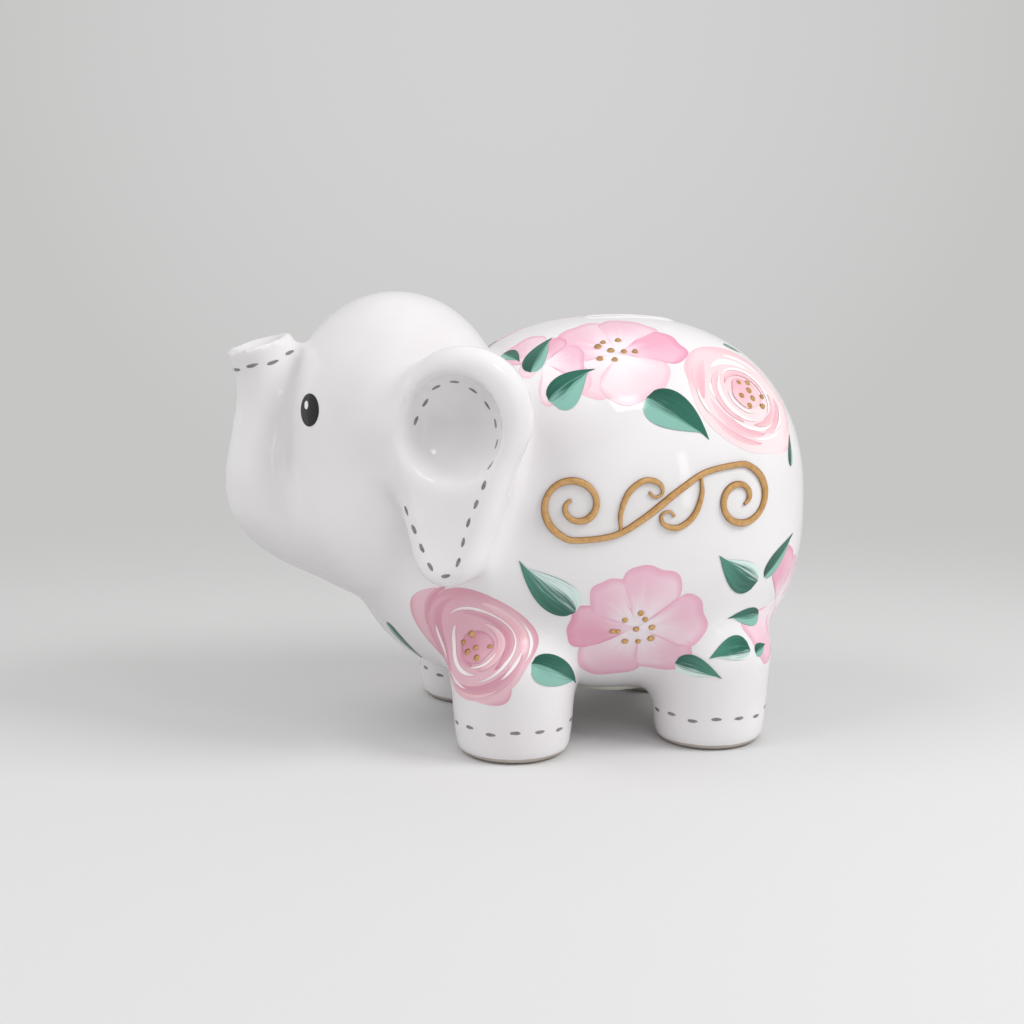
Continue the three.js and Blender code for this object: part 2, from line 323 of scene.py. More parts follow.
@dataclass(frozen=True)
class BankForm:
    """The whole clay body as one smooth distance field, in millimetres."""

    torso: Egg
    chest: Egg
    skull: Egg
    jaw: Egg
    brow: Egg
    legs: tuple[LegForm, ...]
    ear: EarForm
    slot_centre: float
    slot_straight: float
    slot_half_width: float
    lip_width: float
    lip_rise: float
    trunk_route: tuple[Point, ...] = (
        (-96.7, 146, 11.6),
        (-96.0, 141.5, 10.6),
        (-94.8, 134, 9.8),
        (-94.9, 124, 9.7),
        (-96.4, 111, 10.5),
        (-96.8, 98.5, 12.3),
        (-93.4, 88.5, 14.7),
        (-84.0, 81, 16),
        (-71.0, 79, 20),
    )
    snout: Point = (0, -96.9, 145.6)
    snout_tilt: float = 15
    nostril: Egg = Egg((0, 0, 0.6), (8.6, 8.6, 2.6))
    tail_top: float = 110
    tail_bottom: float = 66
    tail_girth: float = 3.4
    tail_proud: float = 1.7
    wall: float = 3.8
    sole: float = 6
    fillets: Fillets = Fillets()

    def trunk_line(self) -> Array:
        """The trunk's smooth centre line, as rows of x, y, z and radius."""
        line = smooth_route(self.trunk_route, 5)
        return np.hstack([np.zeros((len(line), 1)), line])

    def tail_line(self) -> Array:
        """The tail's centre line down the rump, as rows of x, y, z and radius."""
        rows = []
        for t in np.linspace(0, 1, 9):
            z = self.tail_top + (self.tail_bottom - self.tail_top) * t
            high = abs(z - self.torso.centre[2]) / self.torso.radii[2]
            n = self.torso.squareness
            rump = self.torso.centre[1] + self.torso.radii[1] * (1 - high**n) ** (1 / n)
            girth = self.tail_girth * (1 - 0.25 * t) + 2.2 * math.exp(-(((t - 0.93) / 0.12) ** 2))
            sway = 5 * math.sin(t * math.pi) * t
            rows.append((sway, rump + self.tail_proud - girth, z, girth))
        return np.array(rows)

    @staticmethod
    def strand(p: Array, line: Array, reach: float) -> Array:
        """Distance from a tapered strand.

        Args:
            p: The points.
            line: Rows of x, y, z and radius along the strand.
            reach: Fillet between one stretch and the next.

        Returns:
            Signed distances.
        """
        best = None
        for a, b in zip(line[:-1], line[1:]):
            way = b[:3] - a[:3]
            t = np.clip(((p - a[:3]) @ way) / (way @ way), 0, 1)
            off = np.linalg.norm(p - a[:3] - t[..., None] * way, axis=-1)
            off = off - (a[3] + (b[3] - a[3]) * t)
            best = off if best is None else soft_union(best, off, reach)
        return best

    def trunk_distance(self, p: Array) -> Array:
        """Signed distance from the trunk, with its cut and dished tip."""
        trunk = self.strand(p, self.trunk_line(), self.fillets.trunk_stretch)
        tilt = math.radians(self.snout_tilt)
        facing = np.array([0, -math.sin(tilt), math.cos(tilt)])
        across = np.array([0, math.cos(tilt), math.sin(tilt)])
        d = p - np.array(self.snout)
        trunk = soft_limit(trunk, d @ facing, self.fillets.snout)
        dish = self.nostril.distance(np.stack([d[..., 0], d @ across, d @ facing], -1))
        return soft_limit(trunk, -dish, self.fillets.nostril)

    def slot_distance(self, p: Array) -> Array:
        """Distance in plan from the edge of the coin slot."""
        beyond = np.maximum(np.abs(p[..., 1] - self.slot_centre) - self.slot_straight / 2, 0)
        return np.hypot(p[..., 0], beyond) - self.slot_half_width

    def body_distance(self, q: Array) -> Array:
        """Signed distance from the torso with its legs, for points on the left side."""
        body = soft_union(self.torso.distance(q), self.chest.distance(q), self.fillets.chest)
        legs = self.legs[0].distance(q)
        for leg in self.legs[1:]:
            legs = np.minimum(legs, leg.distance(q))
        return soft_union(body, legs, self.fillets.legs)

    def value(self, p: Array, stage: Stage = Stage.OUTSIDE) -> Array:
        """Signed distance of points from the surface asked for.

        Args:
            p: Points of the frame, in millimetres.
            stage: The glazed outside, or the hollow that the coins fall into.

        Returns:
            Distances, less than zero inside.
        """
        fillets = self.fillets
        q = p.copy()
        q[..., 0] = np.abs(q[..., 0])
        body = self.body_distance(q)
        head = soft_union(self.skull.distance(q), self.jaw.distance(q), fillets.jaw)
        if stage is Stage.HOLLOW:
            hollow = soft_union(body, head, fillets.neck) + self.wall
            hollow = soft_limit(hollow, self.sole - q[..., 2], fillets.hollow_sole)
            bowl = self.ear.bowl.distance(np.stack(self.ear.local(q), -1))
            return soft_limit(hollow, self.wall - bowl, fillets.hollow_ear)
        head = soft_union(head, self.brow.distance(q), fillets.brow)
        head = soft_union(head, self.trunk_distance(q), fillets.trunk)
        form = soft_union(body, head, fillets.neck)
        form = self.ear.blend_into(form, q)
        tail = self.strand(p, self.tail_line(), fillets.tail_stretch)
        form = soft_union(form, tail, fillets.tail)
        bead = np.clip(self.slot_distance(q) / self.lip_width, 0, 1)
        lip = self.lip_rise * np.sin(math.pi * bead) ** 0.8
        return form - np.where(q[..., 2] > self.torso.centre[2], lip, 0)

    def slope(self, p: Array, stage: Stage = Stage.OUTSIDE) -> Array:
        """Gradient of the distance at points, from four samples around each."""
        probe = 0.06
        total = np.zeros(p.shape)
        for corner in ((1, -1, -1), (-1, -1, 1), (-1, 1, -1), (1, 1, 1)):
            way = np.array(corner, float)
            total = total + way * self.value(p + way * probe, stage)[..., None]
        return total / (4 * probe)

    def settle(self, p: Array, rounds: int, stage: Stage = Stage.OUTSIDE) -> Array:
        """Moves points onto the surface by the shortest way.

        Args:
            p: Points near the surface.
            rounds: How many steps each takes.
            stage: The surface that they are moved to.

        Returns:
            The moved points.
        """
        for _ in range(rounds):
            slope = self.slope(p, stage)
            size = np.maximum((slope**2).sum(-1), 0.2)
            step = np.clip(self.value(p, stage) / size, -3, 3)
            p = p - step[..., None] * slope
        return p

    def normal(self, p: Array) -> Array:
        """Unit vectors that point out of the outside surface."""
        slope = self.slope(p)
        return slope / np.linalg.norm(slope, axis=-1, keepdims=True)

    def fall(self, p: Array, way: Array, rounds: int = 60) -> Array:
        """Drops points along a direction until they lie on the outside.

        Args:
            p: Starting points, clear of the body.
            way: Unit directions, one for each point.
            rounds: The most steps that a point takes.

        Returns:
            The points where they land.
        """
        for _ in range(rounds):
            step = np.clip(self.value(p) * 0.85, -2, 6)
            p = p + way * step[..., None]
            if np.abs(step).max() < 0.002:
                break
        return p


def form_from_frame() -> BankForm:
    """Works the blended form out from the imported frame's own boxes.

    Returns:
        The form.
    """
    torso_high = span("torso")[1]
    head_high = span("head")[1]
    plug_low, plug_high = span("stopper")
    crest_lip, rump_drop = 0.9, 69.4
    middle = (plug_low[1] + plug_high[1]) / 2
    crest = torso_high[2] - crest_lip
    torso = Egg(
        (0, middle, crest - rump_drop),
        (torso_high[0], torso_high[1] - middle, rump_drop),
        squareness=2.35,
    )
    skull_height = 41.8
    skull = Egg((0, -46.9, head_high[2] - skull_height), (head_high[0], 38.8, skull_height))
    front_low, front_high = span("leg_front_left")
    rear_low, rear_high = span("leg_rear_left")
    across, front_shift, rear_shift = 37.0, 0.4, -0.5
    legs = (
        LegForm(across, (front_low[1] + front_high[1]) / 2 + front_shift),
        LegForm(across, (rear_low[1] + rear_high[1]) / 2 + rear_shift, scale=0.97),
    )
    return BankForm(
        torso=torso,
        chest=Egg((0, -16.4, 72.5), (52, 49, 52)),
        skull=skull,
        jaw=Egg((0, -51.5, 88.2), (41, 35.5, 38)),
        brow=Egg((0, -83.2, 119.5), (7.5, 13, 25)),
        legs=legs,
        ear=EarForm(),
        slot_centre=40.65,
        slot_straight=26.2,
        slot_half_width=2.4,
        lip_width=1.9,
        lip_rise=0.5,
    )


# ---------------------------------------------------------------------------------------------
# Bench tools: one short function for each thing done to a mesh
# ---------------------------------------------------------------------------------------------


def only(obj: bpy.types.Object) -> bpy.types.Object:
    """Selects one object, and nothing else, and makes it the active one."""
    if bpy.context.mode != "OBJECT":
        bpy.ops.object.mode_set(mode="OBJECT")
    bpy.ops.object.select_all(action="DESELECT")
    obj.select_set(True)
    bpy.context.view_layer.objects.active = obj
    return obj


def fresh(name: str) -> bpy.types.Object:
    """Names the object that an operator has just added."""
    obj = bpy.context.view_layer.objects.active
    obj.name = name
    obj.data.name = name
    return obj


def points_of(obj: bpy.types.Object) -> Array:
    """A mesh's vertices, in millimetres."""
    flat = np.empty(len(obj.data.vertices) * 3)
    obj.data.vertices.foreach_get("co", flat)
    return flat.reshape(-1, 3) / MM


def move_points(obj: bpy.types.Object, points: Array) -> None:
    """Writes a mesh's vertices from millimetres."""
    obj.data.vertices.foreach_set("co", (points * MM).ravel())
    obj.data.update()


def join(objects: Iterable[bpy.types.Object], name: str) -> bpy.types.Object:
    """Joins objects into one mesh.

    Args:
        objects: The objects, of which the first keeps the mesh.
        name: The joined object's name.

    Returns:
        The joined object.
    """
    parts = list(objects)
    only(parts[0])
    for part in parts:
        part.select_set(True)
    if len(parts) > 1:
        bpy.ops.object.join()
    return fresh(name)


def modify(obj: bpy.types.Object, kind: str, **settings: object) -> None:
    """Adds a modifier with the given settings and applies it at once."""
    only(obj)
    modifier = obj.modifiers.new("step", kind)
    for key, value in settings.items():
        setattr(modifier, key, value)
    bpy.ops.object.modifier_apply(modifier=modifier.name)


def fix_place(obj: bpy.types.Object) -> bpy.types.Object:
    """Moves an object's place, turn and scale into its mesh."""
    only(obj)
    bpy.ops.object.transform_apply(location=True, rotation=True, scale=True)
    return obj


def ball(centre: Sequence[float], radii: Sequence[float], turn: Array | None = None,
         segments: int = 48) -> bpy.types.Object:
    """Adds a ball stretched to an egg, as a lump to block out with.

    Args:
        centre: Its centre, in millimetres.
        radii: Its three radii, in millimetres.
        turn: A 3 by 3 matrix of its own axes, or None.
        segments: How many segments it has around.

    Returns:
        The lump, with its place in its mesh.
    """
    bpy.ops.mesh.primitive_uv_sphere_add(segments=segments, ring_count=segments // 2, radius=1)
    obj = fresh("lump")
    stretch = Matrix.Diagonal(Vector([r * MM for r in radii] + [1.0]))
    axes = Matrix(turn.tolist()).to_4x4() if turn is not None else Matrix.Identity(4)
    obj.matrix_world = Matrix.Translation(Vector(centre) * MM) @ axes @ stretch
    return fix_place(obj)


def post(centre: Sequence[float], radius: float, depth: float, turn: Array | None = None,
         sides: int = 48) -> bpy.types.Object:
    """Adds a round post, centred on a point.

    Args:
        centre: Its middle, in millimetres.
        radius: Its radius.
        depth: Its length along its own Z.
        turn: A 3 by 3 matrix of its own axes, or None.
        sides: How many sides it has.

    Returns:
        The post, with its place in its mesh.
    """
    bpy.ops.mesh.primitive_cylinder_add(vertices=sides, radius=radius * MM, depth=depth * MM)
    obj = fresh("post")
    axes = Matrix(turn.tolist()).to_4x4() if turn is not None else Matrix.Identity(4)
    obj.matrix_world = Matrix.Translation(Vector(centre) * MM) @ axes
    return fix_place(obj)


def turned(profile: Sequence[Flat], centre: Flat, name: str, steps: int = 96) -> bpy.types.Object:
    """Spins a profile about an upright axis, as on a lathe.

    Args:
        profile: Radius and height of each point, from one end of the axis to the other.
        centre: Where the axis stands, in plan.
        name: The piece's name.
        steps: How many steps the spin takes.

    Returns:
        The closed, turned piece.
    """
    mesh = bpy.data.meshes.new(name)
    rows = [((centre[0] + r) * MM, centre[1] * MM, z * MM) for r, z in profile]
    mesh.from_pydata(rows, [(i, i + 1) for i in range(len(rows) - 1)], [])
    obj = bpy.data.objects.new(name, mesh)
    bpy.context.scene.collection.objects.link(obj)
    only(obj)
    bpy.ops.object.mode_set(mode="EDIT")
    bpy.ops.mesh.select_all(action="SELECT")
    bpy.ops.mesh.spin(steps=steps, angle=2 * math.pi, center=(centre[0] * MM, centre[1] * MM, 0),
                      axis=(0, 0, 1))
    bpy.ops.mesh.select_all(action="SELECT")
    bpy.ops.mesh.remove_doubles(threshold=0.002 * MM)
    bpy.ops.mesh.normals_make_consistent(inside=False)
    bpy.ops.object.mode_set(mode="OBJECT")
    return obj


def face_vectors(obj: bpy.types.Object, name: str) -> Array:
    """One vector for each face of a mesh, such as its center or normal."""
    flat = np.empty(len(obj.data.polygons) * 3)
    obj.data.polygons.foreach_get(name, flat)
    return flat.reshape(-1, 3)


def edit_faces(obj: bpy.types.Object, chosen: Array, step: Callable[[], object]) -> None:
    """Does one editing step on some faces of a mesh.

    Args:
        obj: The object.
        chosen: For each face, whether it takes part.
        step: The step, which works on the faces selected.
    """
    only(obj)
    bpy.ops.object.mode_set(mode="EDIT")
    bpy.ops.mesh.select_mode(type="FACE")
    bpy.ops.mesh.select_all(action="DESELECT")
    bpy.ops.object.mode_set(mode="OBJECT")
    obj.data.polygons.foreach_set("select", chosen)
    bpy.ops.object.mode_set(mode="EDIT")
    step()
    bpy.ops.object.mode_set(mode="OBJECT")


def smooth(obj: bpy.types.Object, angle: float) -> None:
    """Shades a mesh smooth, apart from edges sharper than an angle in degrees."""
    only(obj)
    bpy.ops.object.shade_smooth_by_angle(angle=math.radians(angle))


def mirrored(obj: bpy.types.Object, name: str) -> bpy.types.Object:
    """Copies a piece to the other side of the body, with its own mesh.

    Args:
        obj: The piece on the left side.
        name: The copy's name.

    Returns:
        The copy on the right side, with its faces pointing outwards.
    """
    twin = obj.copy()
    twin.data = obj.data.copy()
    twin.name = name
    twin.data.name = name
    bpy.context.scene.collection.objects.link(twin)
    move_points(twin, points_of(twin) * np.array([-1, 1, 1]))
    if "seed" in twin.data.attributes:
        for kept in twin.data.attributes["seed"].data:
            kept.value += 0.37
    only(twin)
    bpy.ops.object.mode_set(mode="EDIT")
    bpy.ops.mesh.select_all(action="SELECT")
    bpy.ops.mesh.flip_normals()
    bpy.ops.object.mode_set(mode="OBJECT")
    return twin


def finish_piece(obj: bpy.types.Object, body: str, slot: str, *replaced: str) -> None:
    """Rides a piece on its body and reports it.

    Args:
        obj: The finished piece.
        body: The body of the frame that it moves with.
        slot: The record's material slot; not used.
        replaced: The frame nodes that it stands for.
    """
    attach(obj, body)
    if replaced:
        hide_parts(*replaced)
    LOG.info("%s: %d faces, on %s", obj.name, len(obj.data.polygons), body)


# ---------------------------------------------------------------------------------------------
# Finishes
# ---------------------------------------------------------------------------------------------


def tint(code: str) -> tuple[float, float, float, float]:
    """A colour for a shader from its six-digit web code."""
    parts = [int(code[i : i + 2], 16) / 255 for i in (0, 2, 4)]
    linear = [c / 12.92 if c <= 0.04045 else ((c + 0.055) / 1.055) ** 2.4 for c in parts]
    return (linear[0], linear[1], linear[2], 1.0)


Source = bpy.types.NodeSocket | float | tuple


class NodeBench:
    """A new material and short calls that wire its nodes."""

    def __init__(self, name: str) -> None:
        """Starts a material with one shader.

        Args:
            name: The material's name.
        """
        self.material = bpy.data.materials.new(name)
        self.material.use_nodes = True
        self.tree = self.material.node_tree
        self.tree.nodes.clear()
        self.shader = self.tree.nodes.new("ShaderNodeBsdfPrincipled")
        output = self.tree.nodes.new("ShaderNodeOutputMaterial")
        self.tree.links.new(self.shader.outputs[0], output.inputs["Surface"])

    def feed(self, socket: bpy.types.NodeSocket, value: Source) -> None:
        """Links a socket to a value, or sets it."""
        if isinstance(value, bpy.types.NodeSocket):
            self.tree.links.new(value, socket)
        else:
            socket.default_value = value

    def node(self, kind: str, **inputs: Source) -> bpy.types.Node:
        """Adds a node and feeds the inputs named, with _ for a space."""
        made = self.tree.nodes.new(kind)
        for key, value in inputs.items():
            self.feed(made.inputs[key.replace("_", " ")], value)
        return made

    def sum(self, operation: str, a: Source, b: Source = 0.0) -> bpy.types.NodeSocket:
        """One math node.

        Args:
            operation: The node's operation, such as MULTIPLY.
            a: Its first value.
            b: Its second value.

        Returns:
            The result.
        """
        made = self.tree.nodes.new("ShaderNodeMath")
        made.operation = operation
        self.feed(made.inputs[0], a)
        self.feed(made.inputs[1], b)
        return made.outputs[0]

    def step(self, value: Source, low: float, high: float, a: float = 0.0,
             b: float = 1.0) -> bpy.types.NodeSocket:
        """Eases from a to b while value goes from low to high."""
        made = self.tree.nodes.new("ShaderNodeMapRange")
        made.interpolation_type = "SMOOTHSTEP"
        for socket, given in zip(made.inputs, (value, low, high, a, b)):
            self.feed(socket, given)
        return made.outputs[0]

    def blend(self, share: Source, a: Source, b: Source) -> bpy.types.NodeSocket:
        """Mixes two colours by a share of the second."""
        made = self.tree.nodes.new("ShaderNodeMix")
        made.data_type = "RGBA"
        self.feed(made.inputs[0], share)
        self.feed(made.inputs[6], a)
        self.feed(made.inputs[7], b)
        return made.outputs[2]

    def stretch(self, vector: bpy.types.NodeSocket, scale: Point) -> bpy.types.NodeSocket:
        """Stretches a coordinate by a different amount on each axis."""
        made = self.tree.nodes.new("ShaderNodeMapping")
        self.tree.links.new(vector, made.inputs["Vector"])
        made.inputs["Scale"].default_value = scale
        return made.outputs[0]

    def noise(self, vector: bpy.types.NodeSocket, scale: float, detail: float = 3.0,
              rough: float = 0.5) -> bpy.types.NodeSocket:
        """Cloudy values from 0 to 1 on a coordinate."""
        made = self.node("ShaderNodeTexNoise", Vector=vector, Scale=scale, Detail=detail,
                         Roughness=rough)
        return made.outputs[0]

    def place(self) -> bpy.types.NodeSocket:
        """The surface's own place in the frame, in metres."""
        return self.tree.nodes.new("ShaderNodeTexCoord").outputs["Object"]

    def relief(self, height: bpy.types.NodeSocket, strength: float, depth_mm: float) -> None:
        """Presses a height into the shader's normal."""
        bump = self.node("ShaderNodeBump", Height=height, Strength=strength,
                         Distance=depth_mm * MM)
        self.tree.links.new(bump.outputs[0], self.shader.inputs["Normal"])


@dataclass(frozen=True)
class WhiteGlaze:
    """Clear mirror glaze over a white clay body, bare and rough on the standing rings."""

    name: str = "white_glaze"
    body: str = "eceaeb"
    thin: str = "e5e1e3"
    bare: str = "b3aaa2"
    bare_height: float = 2.1

    def make(self) -> bpy.types.Material:
        """Wires the material."""
        bench = NodeBench(self.name)
        place = bench.place()
        cloud = bench.noise(place, 22, 3)
        speck = bench.noise(place, 1500, 2)
        height = bench.node("ShaderNodeSeparateXYZ", Vector=place).outputs["Z"]
        wander = bench.sum("MULTIPLY", bench.noise(place, 160, 2), 0.0007)
        height = bench.sum("SUBTRACT", height, wander)
        glazed = bench.step(height, (self.bare_height - 0.4) * MM, self.bare_height * MM)
        white = bench.blend(bench.step(cloud, 0.35, 0.75), tint(self.body), tint(self.thin))
        clay = bench.blend(speck, tint(self.bare), tint("c2b9b0"))
        bench.feed(bench.shader.inputs["Base Color"], bench.blend(glazed, clay, white))
        gloss = bench.step(bench.noise(place, 60, 2), 0.3, 0.8, 0.07, 0.1)
        rough = bench.node("ShaderNodeMix", Factor=glazed, A=0.85, B=gloss)
        bench.feed(bench.shader.inputs["Roughness"], rough.outputs[0])
        bench.shader.inputs["IOR"].default_value = 1.5
        bench.relief(bench.noise(place, 260, 2), 0.08, 0.05)
        return bench.material


@dataclass(frozen=True)
class BrushPaint:
    """Glazed-over brush paint whose colour runs along and across each stroke.

    The stroke's own UV map has U across the brush and V along the stroke.
    """

    name: str
    root: str
    body: str
    edge: str
    side: str
    fade_from: float = 0.1
    fade_to: float = 0.75
    edge_width: float = 0.16
    side_share: float = 0.5
    side_from: float = 0.35
    side_to: float = 0.9
    side_taper: float = 0.0
    feather: float = 0.6
    streaks: float = 0.35
    streak_count: float = 9.0

    def make(self) -> bpy.types.Material:
        """Wires the material."""
        bench = NodeBench(self.name)
        uv = bench.tree.nodes.new("ShaderNodeUVMap")
        uv.uv_map = "UVMap"
        split = bench.node("ShaderNodeSeparateXYZ", Vector=uv.outputs[0])
        across, along = split.outputs["X"], split.outputs["Y"]
        seed = bench.tree.nodes.new("ShaderNodeAttribute")
        seed.attribute_name = "seed"
        own = bench.sum("MULTIPLY", seed.outputs["Fac"], 37.0)
        ribbon = bench.node(
            "ShaderNodeCombineXYZ",
            X=bench.sum("MULTIPLY", across, self.streak_count),
            Y=bench.sum("MULTIPLY", along, 1.3),
            Z=own,
        ).outputs[0]
        streak = bench.noise(ribbon, 1.0, 4, 0.6)
        pulled = bench.sum("MULTIPLY", bench.sum("SUBTRACT", streak, 0.5), self.streaks * 1.6)
        depth = bench.sum("ADD", along, pulled)
        fill = bench.step(depth, self.fade_from, self.fade_to)
        colour = bench.blend(fill, tint(self.root), tint(self.body))
        loaded = bench.sum("ADD", across, bench.sum("MULTIPLY", pulled, self.feather))
        loaded = bench.sum("SUBTRACT", loaded, bench.sum("MULTIPLY", along, self.side_taper))
        share = bench.step(loaded, self.side_from, self.side_to, 0.0, self.side_share)
        colour = bench.blend(share, colour, tint(self.side))
        doubled = bench.sum("MULTIPLY", across, 2.0)
        centred = bench.sum("ABSOLUTE", bench.sum("SUBTRACT", doubled, 1.0))
        outer = bench.sum("MAXIMUM", centred, along)
        rim = bench.step(bench.sum("ADD", outer, bench.sum("MULTIPLY", pulled, 0.15)),
                         1 - self.edge_width, 1.0)
        rim = bench.sum("MULTIPLY", rim, bench.step(along, 0.15, 0.5))
        colour = bench.blend(bench.sum("MULTIPLY", rim, 0.85), colour, tint(self.edge))
        bench.feed(bench.shader.inputs["Base Color"], colour)
        bench.feed(bench.shader.inputs["Roughness"], bench.step(streak, 0.3, 0.7, 0.1, 0.16))
        bench.relief(streak, 0.12, 0.08)
        return bench.material


@dataclass(frozen=True)
class FlatPaint:
    """Plain dark or light paint for eyes and stitches, with a slightly worn tone."""

    name: str
    body: str
    worn: str
    roughness: float = 0.1

    def make(self) -> bpy.types.Material:
        """Wires the material."""
        bench = NodeBench(self.name)
        place = bench.place()
        cloud = bench.noise(place, 700, 4, 0.6)
        colour = bench.blend(bench.step(cloud, 0.35, 0.7), tint(self.body), tint(self.worn))
        bench.feed(bench.shader.inputs["Base Color"], colour)
        rough = bench.step(cloud, 0.3, 0.8, self.roughness, self.roughness * 1.6)
        bench.feed(bench.shader.inputs["Roughness"], rough)
        bench.relief(bench.noise(place, 900, 2), 0.06, 0.05)
        return bench.material


@dataclass(frozen=True)
class RaisedGold:
    """Soft bronze gold over a piped bead, with painted shade: browner down its flanks towards the
    glaze, where its normal turns away from the X axis.
    """

    name: str = "raised_gold"
    bright: str = "dcb077"
    worn: str = "cb9a5c"
    # deep: the painted shade colour for the flanks of each bead and scroll line
    deep: str = "8d5f2c"
    roughness: float = 0.34

    def make(self) -> bpy.types.Material:
        """Wires the material."""
        bench = NodeBench(self.name)
        place = bench.place()
        pool = bench.noise(place, 520, 3, 0.6)
        # Painted shade: the gold blends to the deep brown where the object-space normal turns away
        # from ±X, so the bead's flanks come out darker than its crest
        facing = bench.tree.nodes.new("ShaderNodeTexCoord").outputs["Normal"]
        outward = bench.node("ShaderNodeSeparateXYZ", Vector=facing).outputs["X"]
        crest = bench.step(bench.sum("ABSOLUTE", outward), 0.2, 0.75)
        gold = bench.blend(bench.step(pool, 0.4, 0.75), tint(self.bright), tint(self.worn))
        colour = bench.blend(crest, tint(self.deep), gold)
        bench.feed(bench.shader.inputs["Base Color"], colour)
        bench.shader.inputs["Metallic"].default_value = 0.45
        rough = bench.step(pool, 0.3, 0.8, self.roughness, self.roughness + 0.14)
        bench.feed(bench.shader.inputs["Roughness"], rough)
        bench.relief(bench.noise(place, 900, 3), 0.2, 0.1)
        return bench.material


@dataclass(frozen=True)
class PlugRubber:
    """Soft milky stopper rubber with a little moulding bloom."""

    name: str = "plug_rubber"
    body: str = "e6e2d8"
    bloom: str = "dcd7ca"

    def make(self) -> bpy.types.Material:
        """Wires the material."""
        bench = NodeBench(self.name)
        place = bench.place()
        cloud = bench.noise(place, 60, 3, 0.5)
        grain = bench.noise(place, 2600, 2)
        colour = bench.blend(bench.step(cloud, 0.3, 0.8), tint(self.body), tint(self.bloom))
        bench.feed(bench.shader.inputs["Base Color"], colour)
        bench.feed(bench.shader.inputs["Roughness"], bench.step(cloud, 0.3, 0.7, 0.48, 0.62))
        bench.relief(grain, 0.12, 0.04)
        return bench.material


class Paint(Enum):
    """The loaded brushes and pens that the decorator works with."""

    PETAL = BrushPaint("petal_pink", "f4eaef", "edbfd0", "e6a9c0", "f4e6ec", fade_from=0.05)
    PETAL_DEEP = BrushPaint("petal_deep", "f1d5df", "eaa9c0", "e296b3", "f1cddb", fade_to=0.55)
    PETAL_PALE = BrushPaint("petal_pale", "f6edf0", "f3d5dd", "eec2cf", "f7ebee", fade_to=0.9)
    ROSE_WASH = BrushPaint("rose_wash", "e6b9c5", "e3b1bf", "da9dae", "ecc9d1", side_share=0.4)
    ROSE_DEEP = BrushPaint("rose_deep", "dda5b5", "d798aa", "d08a9f", "e6bcc8", fade_from=-0.4)
    ROSE_PALE = BrushPaint("rose_pale", "f4dcdf", "f2d3d8", "eebfc8", "f7e8e9", side_share=0.6)
    ROSE_BLUSH = BrushPaint("rose_blush", "f1ccd2", "ecb8c2", "e8aab6", "f4dadd", fade_from=-0.3)
    WISP = BrushPaint("white_wisp", "f1e2e5", "f8f3f3", "f0dde0", "faf8f8", fade_from=-0.2,
                      fade_to=0.4, edge_width=0.3)
    LEAF = BrushPaint("leaf_green", "1f5143", "2f6a5a", "1d4d41", "88bbae", fade_from=-0.2,
                      fade_to=0.7, side_share=1.0, side_from=0.36, side_to=0.66,
                      side_taper=0.12, feather=0.75, edge_width=0.04, streaks=0.6,
                      streak_count=13)
    LEAF_TEAL = BrushPaint("leaf_teal", "2a6253", "4a8877", "2f6f5e", "dbeeea", fade_from=0.0,
                           fade_to=0.9, side_share=1.0, side_from=0.4, side_to=0.85,
                           side_taper=0.1, feather=0.9, edge_width=0.04, streaks=0.8,
                           streak_count=13)
    EYE = FlatPaint("eye_black", "0d0c0d", "171516", 0.06)
    GLINT = FlatPaint("glint_white", "f7f5f4", "e9e7e6", 0.08)
    STITCH = FlatPaint("stitch_grey", "7d797b", "938f91", 0.16)


class Palette:
    """Makes each finish once, when a piece first asks for it."""

    def __init__(self) -> None:
        """Starts with no finish made."""
        self.made: dict[str, bpy.types.Material] = {}

    def get(self, finish: object) -> bpy.types.Material:
        """The material of a finish, made on first use."""
        if finish.name not in self.made:
            self.made[finish.name] = finish.make()
        return self.made[finish.name]

    def dress(self, obj: bpy.types.Object, finish: object) -> None:
        """Gives a whole piece one finish."""
        obj.data.materials.clear()
        obj.data.materials.append(self.get(finish))


# ---------------------------------------------------------------------------------------------
# The clay body
# ---------------------------------------------------------------------------------------------


